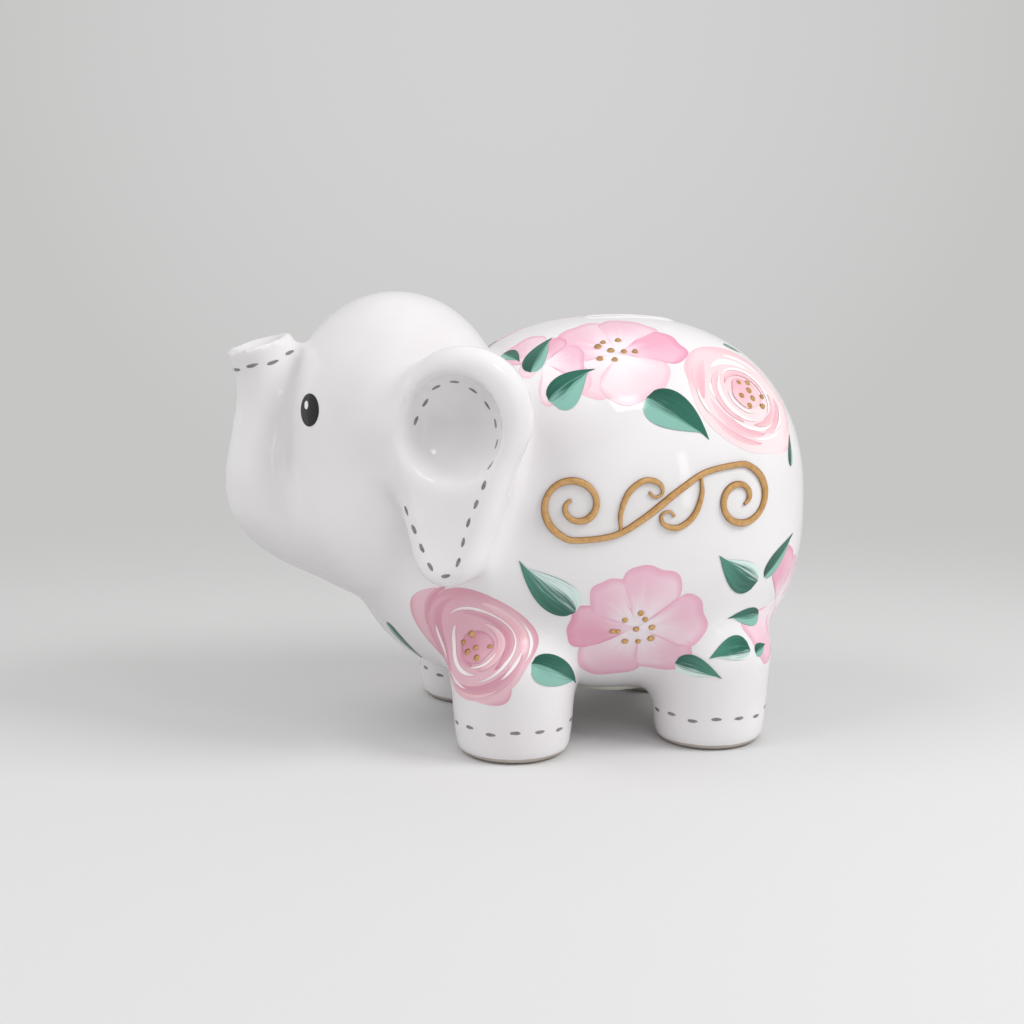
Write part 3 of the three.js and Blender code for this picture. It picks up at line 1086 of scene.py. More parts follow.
@dataclass
class ClayBody:
    """The one-piece cast and glazed body, hollow, with its coin slot and stopper hole."""

    form: BankForm
    palette: Palette
    coarse: float = 2.2
    fine: float = 1.4
    hollow_mesh: float = 3.2
    hole_radius: float = 16.0
    seat_radius: float = 21.5
    seat_height: float = 16.2
    foot_recess: float = 11.5
    leg_girth: float = 21.5
    leg_top: float = 58
    leg_hollow: float = 17
    slot_zone: float = 4.5
    slot_floor: float = 140
    replaced: tuple[str, ...] = (
        "torso", "head", "trunk", "ear_left", "ear_right", "leg_front_left",
        "leg_front_right", "leg_rear_left", "leg_rear_right", "tail",
    )

    def lumps(self) -> list[bpy.types.Object]:
        """Blocks the outside out from balls and posts.

        Returns:
            The lumps, which overlap and aren't yet one body.
        """
        form = self.form
        lumps = [ball(e.centre, e.radii) for e in (form.torso, form.chest, form.skull, form.jaw)]
        lumps.append(ball(form.brow.centre, form.brow.radii, segments=24))
        for x, y, z, r in form.trunk_line()[::2]:
            lumps.append(ball((x, y, z), (r, r, r), segments=24))
        for x, y, z, r in form.tail_line():
            lumps.append(ball((x, y, z), (r, r, r), segments=16))
        for leg in form.legs:
            for side in (-1, 1):
                middle = (side * leg.across, leg.station, self.leg_top / 2)
                lumps.append(post(middle, self.leg_girth * leg.scale, self.leg_top))
        for side in (-1, 1):
            lumps.append(self.ear_lump(side))
        return lumps

    def ear_axes(self, side: int) -> Array:
        """The ear's axes as the columns of a matrix, for one side."""
        axes = np.stack(self.form.ear.axes(), 1)
        return np.diag([side, 1, 1]) @ axes @ np.diag([side, 1, 1])

    def ear_lump(self, side: int) -> bpy.types.Object:
        """Blocks one ear out from three posts, with its bowl cut.

        Args:
            side: 1 for the left ear and -1 for the right.

        Returns:
            The ear's lump.
        """
        ear = self.form.ear
        flip = np.array([side, 1, 1])
        turn = self.ear_axes(side)
        parts = []
        rise = 5.0
        for disc, depth in ((ear.crown, 30), (ear.front, 24), (ear.lobe, 24)):
            middle = ear.place(disc.along, disc.up, rise - depth / 2) * flip
            parts.append(post(middle, disc.radius + ear.roll, depth, turn))
        waist = ear.place(-6, -22, rise - 12) * flip
        parts.append(post(waist, 15, 24, turn))
        lump = join(parts, "ear_lump")
        modify(lump, "REMESH", mode="VOXEL", voxel_size=1.5 * MM)
        bowl_at = ear.place(*ear.bowl.centre) * flip
        bowl = ball(bowl_at, ear.bowl.radii, turn)
        modify(lump, "BOOLEAN", operation="DIFFERENCE", object=bowl, solver="EXACT")
        bpy.data.objects.remove(bowl)
        return lump

    def fuse(self, lumps: list[bpy.types.Object], name: str, size: float,
             stage: Stage) -> bpy.types.Object:
        """Fuses lumps into one skin and fairs it onto the blended form.

        Args:
            lumps: The lumps to fuse.
            name: The fused body's name.
            size: The side of its faces, in millimetres.
            stage: The surface that it is faired onto.

        Returns:
            The fused body.
        """
        body = join(lumps, name)
        sizes = (self.coarse, size) if size < self.coarse else (size,)
        for voxel in sizes:
            modify(body, "REMESH", mode="VOXEL", voxel_size=voxel * MM)
            move_points(body, self.form.settle(points_of(body), 5, stage))
        for _ in range(2):
            modify(body, "SMOOTH", factor=0.5, iterations=2)
            move_points(body, self.form.settle(points_of(body), 3, stage))
        return body

    def refine(self, body: bpy.types.Object, wanted: Callable[[Array], Array], cuts: int) -> None:
        """Splits some faces finer, and fairs the new points.

        Args:
            body: The body.
            wanted: Says from their centres, in millimetres, which faces to split.
            cuts: How many cuts each edge gets.
        """
        chosen = wanted(face_vectors(body, "center") / MM)
        edit_faces(body, chosen, lambda: bpy.ops.mesh.subdivide(number_cuts=cuts))
        move_points(body, self.form.settle(points_of(body), 3))

    def round_slot(self, centres: Array) -> Array:
        """Which faces lie on the lip of the coin slot."""
        near = np.abs(self.form.slot_distance(centres)) < self.slot_zone
        return near & (centres[:, 2] > self.slot_floor)

    def hollow(self) -> bpy.types.Object:
        """Makes the inside space, which is cut from the body."""
        form = self.form
        wall = form.wall
        lumps = []
        for egg in (form.torso, form.chest, form.skull, form.jaw):
            lumps.append(ball(egg.centre, [r - wall for r in egg.radii]))
        low, high = form.sole, 50
        for leg in form.legs:
            for side in (-1, 1):
                middle = (side * leg.across, leg.station, (low + high) / 2)
                lumps.append(post(middle, self.leg_hollow, high - low))
        return self.fuse(lumps, "hollow", self.hollow_mesh, Stage.HOLLOW)

    def slot_cutter(self) -> bpy.types.Object:
        """Makes the long round-ended bar that cuts the coin slot."""
        form = self.form
        crest = form.torso.centre[2] + form.torso.radii[2]
        bar = post((0, form.slot_centre, crest), form.slot_half_width, 30, sides=40)
        places = points_of(bar)
        ends = np.where(places[:, 1] > form.slot_centre, 0.5, -0.5)
        places[:, 1] += ends * form.slot_straight
        move_points(bar, places)
        return bar

    def cutters(self) -> list[bpy.types.Object]:
        """Makes what is cut from the fused body, one solid for each opening."""
        form = self.form
        soften = 0.8
        hole = turned(
            [
                (0, 2), (self.seat_radius + 1.5, 2), (self.seat_radius, self.seat_height - 1),
                (self.seat_radius - 0.3, self.seat_height),
                (self.hole_radius + soften, self.seat_height),
                (self.hole_radius + 0.25, self.seat_height + 0.3),
                (self.hole_radius, self.seat_height + soften), (self.hole_radius, 30), (0, 30),
            ],
            (0, form.torso.centre[1]), "stopper_hole",
        )
        found = [self.hollow(), self.slot_cutter(), hole]
        for leg in form.legs:
            for side in (-1, 1):
                r = self.foot_recess * leg.scale
                found.append(turned(
                    [(0, -2), (r + 1.2, -2), (r + 0.8, 0), (r + 0.2, 0.35), (r - 0.4, 1), (0, 1)],
                    (side * leg.across, leg.station), "foot_recess", 64,
                ))
        return found

    def build(self) -> bpy.types.Object:
        """Builds, cuts and glazes the body.

        Returns:
            The finished piece.
        """
        body = self.fuse(self.lumps(), "glazed_body", self.fine, Stage.OUTSIDE)
        self.refine(body, self.round_slot, 2)
        for cutter in self.cutters():
            modify(body, "BOOLEAN", operation="DIFFERENCE", object=cutter, solver="MANIFOLD")
            bpy.data.objects.remove(cutter)
        smooth(body, 38)
        self.palette.dress(body, WhiteGlaze())
        finish_piece(body, "bank", "glaze", *self.replaced)
        return body


# ---------------------------------------------------------------------------------------------
# Brush strokes
# ---------------------------------------------------------------------------------------------


@dataclass(frozen=True)
class Spot:
    """A place on the body that paint is laid at, with its own right and up."""

    origin: Array
    right: Array
    up: Array
    out: Array

    @staticmethod
    def near(form: BankForm, point: Sequence[float], right: Sequence[float] = (0, 1, 0)) -> "Spot":
        """The spot of the surface nearest a point.

        Args:
            form: The body's form.
            point: A point near the surface, in millimetres.
            right: The direction that becomes the spot's own right.

        Returns:
            The spot.
        """
        origin = form.settle(np.array([point], float), 6)
        out = form.normal(origin)[0]
        across = np.array(right, float)
        across = across - out * (across @ out)
        across = across / np.linalg.norm(across)
        return Spot(origin[0], across, np.cross(out, across), out)


@dataclass(frozen=True)
class Stroke:
    """One touch of the brush, as a small film in a spot's own plane."""

    paint: Paint
    shape: Callable[[Array, Array], tuple[Array, Array]]
    grid: tuple[int, int]


def fan(axis: float, half_spread: float, reach: float, inner: float = 1.0, wave: float = 0.03,
        centre: Flat = (0, 0), blunt: float = 2.3) -> Callable[[Array, Array], tuple[Array, Array]]:
    """The outline of a petal that spreads from its flower's centre.

    Args:
        axis: The direction that the petal points, in degrees.
        half_spread: Half the angle that it fills, in degrees.
        reach: How far its tip is from the centre.
        inner: How far its root is from the centre.
        wave: How wavy its outer edge is, as a share of its reach.
        centre: The flower's centre.
        blunt: How square the petal's end is.

    Returns:
        A shape that takes places across and along the stroke.
    """

    def shape(across: Array, along: Array) -> tuple[Array, Array]:
        """Bends a square onto the petal."""
        edge = 0.6 + 0.4 * (1 - np.abs(across) ** blunt) ** (1 / blunt)
        ripple = np.sin(across * 5.1 + axis) + 0.5 * np.sin(across * 9.7 + axis * 2)
        r = inner + (reach * edge * (1 + wave * ripple) - inner) * along
        narrow = 0.8 + 0.2 * ease(along * 1.4)
        angle = np.radians(axis) - np.radians(half_spread) * across * narrow
        return centre[0] + r * np.cos(angle), centre[1] + r * np.sin(angle)

    return shape


def ribbon(radius: float, start: float, sweep: float, half_width: float, drift: float = 0.0,
           squash: float = 1.0, tilt: float = 0.0,
           centre: Flat = (0, 0)) -> Callable[[Array, Array], tuple[Array, Array]]:
    """The outline of a crescent stroke that curls round a rose.

    Args:
        radius: The radius of its middle line at the start.
        start: The direction where it starts, in degrees.
        sweep: How far it turns, in degrees.
        half_width: Half its width at the fattest place.
        drift: How much its radius grows along its way.
        squash: The rose's height as a share of its width.
        tilt: How far the whole rose is tilted, in degrees.
        centre: The rose's centre.

    Returns:
        A shape that takes places across and along the stroke.
    """

    def shape(across: Array, along: Array) -> tuple[Array, Array]:
        """Bends a square onto the crescent."""
        angle = np.radians(start + sweep * along)
        fat = np.maximum(np.sin(math.pi * np.clip(along, 0.004, 0.996)), 0) ** 0.65
        r = radius + drift * along + across * half_width * fat
        x, y = r * np.cos(angle), r * np.sin(angle) * squash
        lean = math.radians(tilt)
        return (
            centre[0] + x * math.cos(lean) - y * math.sin(lean),
            centre[1] + x * math.sin(lean) + y * math.cos(lean),
        )

    return shape


def blade(stem: Flat, tip: Flat, dark: float, light: float, curl: float = 0.0,
          light_run: float = 0.86) -> Callable[[Array, Array], tuple[Array, Array]]:
    """The outline of a leaf.

    Args:
        stem: Where the leaf starts.
        tip: Where its point is.
        dark: How far it bulges on its dark side, which is the left when facing the tip.
        light: How far it bulges on its light side.
        curl: How far its middle bows towards the dark side.
        light_run: Where along the leaf its light side runs out.

    Returns:
        A shape that takes places across and along the stroke.
    """

    def shape(across: Array, along: Array) -> tuple[Array, Array]:
        """Bends a square onto the leaf."""
        way = np.array(tip, float) - np.array(stem, float)
        length = float(np.hypot(*way))
        way = way / length
        left = np.array([-way[1], way[0]])
        t = np.clip(along, 0, 1)
        full = t**0.5 * (1 - t) ** 1.05 * 2.6
        short = t**0.45 * np.clip(1 - t / light_run, 0, 1) ** 1.1 * 2.35
        off = np.where(across < 0, -across * dark * full, -across * light * short)
        bow = curl * np.sin(math.pi * along)
        run = length * along
        x = stem[0] + way[0] * run + left[0] * (off + bow)
        y = stem[1] + way[1] * run + left[1] * (off + bow)
        return x, y

    return shape


def blob(centre: Flat, radii: Flat, tilt: float = 0.0, wobble: float = 0.0,
         phase: float = 0.0) -> Callable[[Array, Array], tuple[Array, Array]]:
    """The outline of a round or oval touch.

    Args:
        centre: Its centre.
        radii: Its two radii.
        tilt: How far it is tilted, in degrees.
        wobble: How uneven its edge is, as a share of its radius.
        phase: Where the unevenness starts.

    Returns:
        A shape that takes places across and along the stroke.
    """

    def shape(across: Array, along: Array) -> tuple[Array, Array]:
        """Bends a square onto the oval."""
        a, b = across, along * 2 - 1
        x, y = a * np.sqrt(1 - b * b / 2), b * np.sqrt(1 - a * a / 2)
        angle = np.arctan2(y, x)
        uneven = 1 + wobble * (np.sin(3 * angle + phase) + 0.6 * np.sin(5 * angle + 2 * phase))
        x, y = x * uneven * radii[0], y * uneven * radii[1]
        lean = math.radians(tilt)
        return (
            centre[0] + x * math.cos(lean) - y * math.sin(lean),
            centre[1] + x * math.sin(lean) + y * math.cos(lean),
        )

    return shape


@dataclass
class PaintWork:
    """A group of strokes that is painted flat, laid on the body and fired as one piece."""

    form: BankForm
    palette: Palette
    name: str
    lift: float = 14.0
    film: float = 0.06
    layer: float = 0.016
    skin: float = 0.1
    parts: list[bpy.types.Object] = field(default_factory=list)

    def touch(self, spot: Spot, stroke: Stroke) -> None:
        """Adds one stroke, flat above its spot.

        Args:
            spot: Where on the body it is laid.
            stroke: The touch of the brush.
        """
        bpy.ops.mesh.primitive_grid_add(x_subdivisions=stroke.grid[0],
                                        y_subdivisions=stroke.grid[1], size=2)
        part = fresh("stroke")
        flat = points_of(part) * MM
        x, y = stroke.shape(flat[:, 0], (flat[:, 1] + 1) / 2)
        height = self.film + self.layer * len(self.parts)
        placed = (spot.origin + x[:, None] * spot.right + y[:, None] * spot.up
                  + self.lift * spot.out)
        move_points(part, placed)
        self.note(part, "seed", (len(self.parts) * 0.618) % 1.0)
        self.note(part, "height", height)
        way = part.data.attributes.new("way", "FLOAT_VECTOR", "POINT")
        way.data.foreach_set("vector", np.tile(-spot.out, len(x)).astype(np.float32))
        part.data.materials.append(self.palette.get(stroke.paint.value))
        self.parts.append(part)

    @staticmethod
    def note(part: bpy.types.Object, name: str, value: float) -> None:
        """Keeps one number on every point of a stroke."""
        kept = part.data.attributes.new(name, "FLOAT", "POINT")
        kept.data.foreach_set("value", np.full(len(part.data.vertices), value, np.float32))

    def fire(self) -> bpy.types.Object:
        """Lays all the strokes on the body and gives them their thickness.

        Returns:
            The finished painting on the left side.
        """
        work = join(self.parts, self.name)
        count = len(work.data.vertices)
        heights = np.empty(count, np.float32)
        work.data.attributes["height"].data.foreach_get("value", heights)
        ways = np.empty(count * 3, np.float32)
        work.data.attributes["way"].data.foreach_get("vector", ways)
        landed = self.form.fall(points_of(work), ways.reshape(-1, 3).astype(float))
        landed = landed + self.form.normal(landed) * heights[:, None]
        move_points(work, landed)
        self.face_out(work)
        modify(work, "SOLIDIFY", thickness=self.skin * MM, offset=-1.0, use_rim=True)
        work.data.attributes.remove(work.data.attributes["height"])
        work.data.attributes.remove(work.data.attributes["way"])
        smooth(work, 32)
        return work

    def face_out(self, work: bpy.types.Object) -> None:
        """Turns the faces that point into the body round."""
        out = self.form.normal(face_vectors(work, "center") / MM)
        inward = (out * face_vectors(work, "normal")).sum(-1) < 0
        edit_faces(work, inward, bpy.ops.mesh.flip_normals)


# ---------------------------------------------------------------------------------------------
# The decoration
# ---------------------------------------------------------------------------------------------


PETAL_GRID = (20, 18)
RIBBON_GRID = (6, 40)
LEAF_GRID = (12, 26)
DASH_GRID = (7, 7)
LOBE_GRID = (18, 18)
WASH_GRID = (26, 26)
HEART_GRID = (12, 12)
EYE_GRID = (18, 18)
GLINT_GRID = (8, 8)

# The hearts of the four flowers with gold stamens, near the surface of the left flank
CROWN_HEART = (36.8, 26.2, 142.7)
FLANK_HEART = (56.3, 28.9, 47.8)
RUMP_ROSE_HEART = (46, 68.2, 126.4)
CHEST_ROSE_HEART = (47.4, -27.9, 41.8)


@dataclass(frozen=True)
class Petal:
    """One petal of an open bloom."""

    axis: float
    half_spread: float
    reach: float
    paint: Paint = Paint.PETAL


@dataclass(frozen=True)
class OpenBloom:
    """An open five- to seven-petalled flower."""

    name: str
    near: Point
    petals: tuple[Petal, ...]

    def paint(self, form: BankForm, palette: Palette) -> bpy.types.Object:
        """Paints the bloom on the left side.

        Args:
            form: The body's form.
            palette: The finishes.

        Returns:
            The painting.
        """
        work = PaintWork(form, palette, self.name)
        spot = Spot.near(form, self.near)
        for petal in self.petals:
            shape = fan(petal.axis, petal.half_spread, petal.reach)
            work.touch(spot, Stroke(petal.paint, shape, PETAL_GRID))
        return work.fire()


@dataclass(frozen=True)
class Curl:
    """One crescent stroke round the heart of a rose."""

    radius: float
    start: float
    sweep: float
    half_width: float
    paint: Paint
    drift: float = 0.0


@dataclass(frozen=True)
class Rose:
    """A full rose: a round wash with crescents curling about its heart."""

    name: str
    near: Point
    centre: Flat
    radii: Flat
    tilt: float
    wash: Paint
    inner: Paint
    heart: float
    lobes: tuple[tuple[float, float, float], ...]
    curls: tuple[Curl, ...]

    def paint(self, form: BankForm, palette: Palette) -> bpy.types.Object:
        """Paints the rose on the left side.

        Args:
            form: The body's form.
            palette: The finishes.

        Returns:
            The painting.
        """
        work = PaintWork(form, palette, self.name)
        spot = Spot.near(form, self.near)
        squash = self.radii[1] / self.radii[0]
        for angle, out, size in self.lobes:
            way = math.radians(angle)
            at = (self.centre[0] + out * math.cos(way), self.centre[1] + out * math.sin(way))
            lobe = blob(at, (size, size * 0.86), angle, 0.03, angle)
            work.touch(spot, Stroke(self.wash, lobe, LOBE_GRID))
        wash = blob(self.centre, self.radii, self.tilt, 0.02, self.heart)
        work.touch(spot, Stroke(self.wash, wash, WASH_GRID))
        for curl in self.curls:
            shape = ribbon(curl.radius, curl.start, curl.sweep, curl.half_width, curl.drift,
                           squash, self.tilt, self.centre)
            work.touch(spot, Stroke(curl.paint, shape, RIBBON_GRID))
        heart = blob(self.centre, (self.heart, self.heart * squash), self.tilt, 0.05, 1.0)
        work.touch(spot, Stroke(self.inner, heart, HEART_GRID))
        return work.fire()


@dataclass(frozen=True)
class Leaf:
    """One double-loaded leaf: dark on the left of its way, pale on the right."""

    near: Point
    stem: Flat
    tip: Flat
    dark: float
    light: float
    curl: float = 0.0
    paint: Paint = Paint.LEAF


@dataclass
class Decoration:
    """Everything painted in colour on both flanks."""

    form: BankForm
    palette: Palette
    blooms: tuple[OpenBloom, ...] = (
        OpenBloom(
            "bloom_shoulder", (32.3, 0.5, 139.2),
            (
                Petal(178, 44, 9, Paint.PETAL_PALE), Petal(-66, 44, 20, Paint.PETAL_PALE),
                Petal(112, 38, 22), Petal(-8, 44, 15), Petal(58, 24, 15.5, Paint.PETAL_DEEP),
            ),
        ),
        OpenBloom(
            "bloom_crown", CROWN_HEART,
            (
                Petal(-140, 36, 22, Paint.PETAL_PALE), Petal(160, 30, 20), Petal(118, 38, 25),
                Petal(66, 34, 26.5), Petal(12, 30, 26, Paint.PETAL_DEEP),
                Petal(-70, 58, 21.5, Paint.PETAL_PALE),
            ),
        ),
        OpenBloom(
            "bloom_flank", FLANK_HEART,
            (
                Petal(-118, 44, 26), Petal(-42, 42, 24), Petal(180, 30, 24.5, Paint.PETAL_DEEP),
                Petal(128, 32, 22.5), Petal(74, 38, 24.5), Petal(6, 34, 26),
            ),
        ),
        OpenBloom(
            "bloom_rump", (40.9, 86, 51.3),
            (
                Petal(-160, 30, 23), Petal(-100, 38, 20), Petal(-30, 40, 20, Paint.PETAL_PALE),
                Petal(24, 36, 19), Petal(76, 32, 21, Paint.PETAL_DEEP),
            ),
        ),
    )
    roses: tuple[Rose, ...] = (
        Rose(
            "rose_rump", RUMP_ROSE_HEART, (4.4, 3.4), (24, 21.5), -14,
            Paint.ROSE_PALE, Paint.ROSE_BLUSH, 6.6,
            ((-38, 13, 13.5), (150, 12, 13)),
            (
                Curl(19.5, 150, 60, 2.4, Paint.ROSE_BLUSH),
                Curl(20.5, 228, 70, 1.3, Paint.ROSE_BLUSH),
                Curl(17, 212, 95, 1.7, Paint.ROSE_BLUSH),
                Curl(16.5, -55, 80, 1.6, Paint.ROSE_BLUSH),
                Curl(18.4, 118, -66, 1.0, Paint.WISP), Curl(15.8, 155, -82, 1.5, Paint.WISP, -1.5),
                Curl(15.2, 186, 44, 1.7, Paint.WISP, -3), Curl(21.4, 72, -48, 0.6, Paint.WISP),
                Curl(18.8, 282, 62, 0.6, Paint.WISP), Curl(15, 248, 86, 0.7, Paint.WISP),
                Curl(13.2, 30, -100, 1.5, Paint.ROSE_BLUSH),
                Curl(13.4, 150, 120, 1.3, Paint.ROSE_BLUSH),
                Curl(11.4, 158, -196, 0.7, Paint.WISP), Curl(11.7, 162, 136, 0.9, Paint.WISP),
                Curl(9.2, 16, 160, 1.1, Paint.ROSE_BLUSH), Curl(8.3, 196, 110, 0.5, Paint.WISP),
                Curl(20.8, 196, 34, 0.5, Paint.WISP), Curl(17.6, 20, -60, 0.5, Paint.WISP),
            ),
        ),
        Rose(
            "rose_chest", CHEST_ROSE_HEART, (1.5, -0.5), (19, 18), -10,
            Paint.ROSE_WASH, Paint.ROSE_DEEP, 6.2,
            ((133, 10.5, 14), (-88, 9, 11.5)),
            (
                Curl(16.4, 96, 118, 2.1, Paint.ROSE_DEEP),
                Curl(16, -14, -130, 1.9, Paint.ROSE_DEEP),
                Curl(15.4, 66, -72, 1.5, Paint.ROSE_BLUSH),
                Curl(19.6, 150, -52, 0.9, Paint.ROSE_DEEP),
                Curl(16.3, 146, 38, 0.55, Paint.WISP), Curl(15.6, 200, 44, 0.45, Paint.WISP),
                Curl(15.4, -10, -48, 0.5, Paint.WISP), Curl(17.4, 30, -52, 0.4, Paint.WISP),
                Curl(17.4, -70, -70, 0.5, Paint.ROSE_BLUSH), Curl(12.9, 116, -214, 0.6, Paint.WISP),
                Curl(11.6, 96, -150, 1.5, Paint.ROSE_DEEP), Curl(10.4, 126, 138, 1.0, Paint.WISP),
                Curl(9, 66, -156, 1.3, Paint.ROSE_BLUSH), Curl(7.9, -22, -90, 0.4, Paint.WISP),
                Curl(7.2, 150, 106, 1.1, Paint.ROSE_DEEP),
            ),
        ),
    )
    leaves: tuple[Leaf, ...] = (
        Leaf((20, -9, 139.5), (-1, 7), (3, -5), 3.5, 2.5),
        Leaf((28, 1, 142), (-5.8, -6.9), (5.9, 9.8), 5.5, 4),
        Leaf((44, 8, 133), (-8.7, -4.3), (9.2, 5.6), 5, 9.5, 1),
        Leaf((54, 43, 122), (-9.8, 7.6), (11.5, -8), 8, 8.5, 0.5),
        Leaf((56, -3, 64), (10, -9.3), (-10.5, 9.6), 6.5, 8, 0.5, Paint.LEAF_TEAL),
        Leaf((56, 1, 33), (-10.3, 4.3), (12.5, -6), 5.5, 7, 0.5),
        Leaf((57, 52, 31), (-8.7, 1.6), (8.3, -2.6), 5, 3.5, 0.5, Paint.LEAF_TEAL),
        Leaf((17, -48, 37), (-9, 5), (9, -4.5), 3, 2.5),
        Leaf((57, 66, 68), (9.7, -6.7), (-8.3, 5.8), 8, 5, 0.0, Paint.LEAF_TEAL),
        Leaf((48, 84, 70), (-7.3, -6.8), (10.2, 5.6), 4, 3.5),
        Leaf((52, 70, 49), (8.5, -0.5), (-6.9, -0.1), -3, -4.5),
        Leaf((59, 63, 37), (8.4, 1), (-7.3, -1), -6.5, -3, 0.0, Paint.LEAF_TEAL),
        Leaf((54, 76, 37), (-2.8, -1.6), (3.6, 1.8), 2.5, 2.5),
        Leaf((20.5, 74, 141.7), (-3.5, 0.5), (4, 0.2), 1.6, 1.2),
        Leaf((46, 97, 109), (0, -6), (1.5, 6), 2, 1.5),
    )

    def build(self) -> None:
        """Paints both flanks."""
        left = [flower.paint(self.form, self.palette) for flower in (*self.blooms, *self.roses)]
        work = PaintWork(self.form, self.palette, "leaves", film=0.2, layer=0.002)
        for leaf in self.leaves:
            shape = blade(leaf.stem, leaf.tip, leaf.dark, leaf.light, leaf.curl)
            work.touch(Spot.near(self.form, leaf.near), Stroke(leaf.paint, shape, LEAF_GRID))
        left.append(work.fire())
        for piece in left:
            twin = mirrored(piece, piece.name + "_right")
            piece.name += "_left"
            finish_piece(piece, "bank", "glaze")
            finish_piece(twin, "bank", "glaze")


@dataclass
class Stitching:
    """The grey painted stitches round the trunk, the ears and the feet."""

    form: BankForm
    palette: Palette
    dash: Flat = (1.9, 0.65)
    foot_height: float = 12.2
    foot_step: float = 24.0
    trunk_step: float = 40.0
    ear_route: tuple[Flat, ...] = (
        (9, 2.5), (2.5, 13.5), (-7, 15.8), (-17, 7), (-20, -4), (-17.5, -17.5), (-11.7, -32),
        (-8.7, -45), (-4.7, -49.6), (1.2, -47), (10.3, -28),
    )
    ear_count: int = 19

    def dash_at(self, work: PaintWork, point: Array, way: Array, scale: float = 1.0) -> None:
        """Paints one dash on the surface near a point, along a direction."""
        spot = Spot.near(self.form, point, way)
        size = (self.dash[0] * scale, self.dash[1])
        work.touch(spot, Stroke(Paint.STITCH, blob((0, 0), size, 0, 0.05, point[1]), DASH_GRID))

    def ring(self, work: PaintWork, centre: Point, radius: float, start: float, step: float,
             slope: float = 0.0, scale: float = 1.0) -> None:
        """Paints a ring of dashes round an upright post.

        Args:
            work: The painting that they are added to.
            centre: The ring's centre.
            radius: Its radius.
            start: The direction of the first dash, in degrees.
            step: The angle from one dash to the next.
            slope: How much the ring rises towards the rear, for each millimetre.
            scale: The dashes' length compared with the usual one.
        """
        for k in range(round(360 / step)):
            angle = math.radians(start + step * k)
            x, y = radius * math.cos(angle), radius * math.sin(angle)
            wander = 0.7 * math.sin(2.3 * k)
            point = np.array([centre[0] + x, centre[1] + y, centre[2] + slope * y + wander])
            way = np.array([-math.sin(angle), math.cos(angle), slope * math.cos(angle)])
            self.dash_at(work, point, way, scale)

    def ear(self, work: PaintWork) -> None:
        """Paints the dashes round the inside of the left ear's rim."""
        line = smooth_route(self.ear_route, 12)
        lengths = np.hypot(*np.diff(line, axis=0).T)
        along = np.concatenate([[0], np.cumsum(lengths)])
        ear = self.form.ear
        way = ear.axes()
        for mark in np.linspace(0, along[-1], self.ear_count):
            here = [float(np.interp(mark, along, line[:, i])) for i in (0, 1)]
            ahead = [float(np.interp(mark + 1, along, line[:, i])) for i in (0, 1)]
            behind = [float(np.interp(mark - 1, along, line[:, i])) for i in (0, 1)]
            start = ear.place(here[0], here[1], 12)[None]
            point = self.form.fall(start, -way[2][None])[0]
            along_way = (way[0] * (ahead[0] - behind[0]) + way[1] * (ahead[1] - behind[1]))
            self.dash_at(work, point, along_way, 0.9)

    def build(self) -> None:
        """Paints all the stitches."""
        left = PaintWork(self.form, self.palette, "stitches_left", lift=3.0, layer=0.0)
        for leg in self.form.legs:
            centre = (leg.across, leg.station, self.foot_height)
            self.ring(left, centre, 21.3 * leg.scale, -82, self.foot_step)
        self.ear(left)
        piece = left.fire()
        twin = mirrored(piece, "stitches_right")
        trunk = PaintWork(self.form, self.palette, "stitches_trunk", lift=3.0, layer=0.0)
        self.ring(trunk, (0, -95.4, 139.4), 10.4, -64, self.trunk_step, 0.3, 1.2)
        for made in (piece, twin, trunk.fire()):
            finish_piece(made, "bank", "glaze")


@dataclass
class Eyes:
    """The two glossy black eyes with their white glints."""

    form: BankForm
    palette: Palette
    near: Point = (21.3, -81.1, 123.8)
    radii: Flat = (6.0, 5.8)
    glint_at: Flat = (-1.6, 1.9)
    glint: Flat = (1.3, 1.5)

    def build(self) -> None:
        """Paints both eyes."""
        work = PaintWork(self.form, self.palette, "eye_left", lift=4.0, film=0.12)
        spot = Spot.near(self.form, self.near)
        work.touch(spot, Stroke(Paint.EYE, blob((0, 0), self.radii), EYE_GRID))
        work.touch(spot, Stroke(Paint.GLINT, blob(self.glint_at, self.glint), GLINT_GRID))
        left = work.fire()
        for piece in (left, mirrored(left, "eye_right")):
            finish_piece(piece, "bank", "glaze")


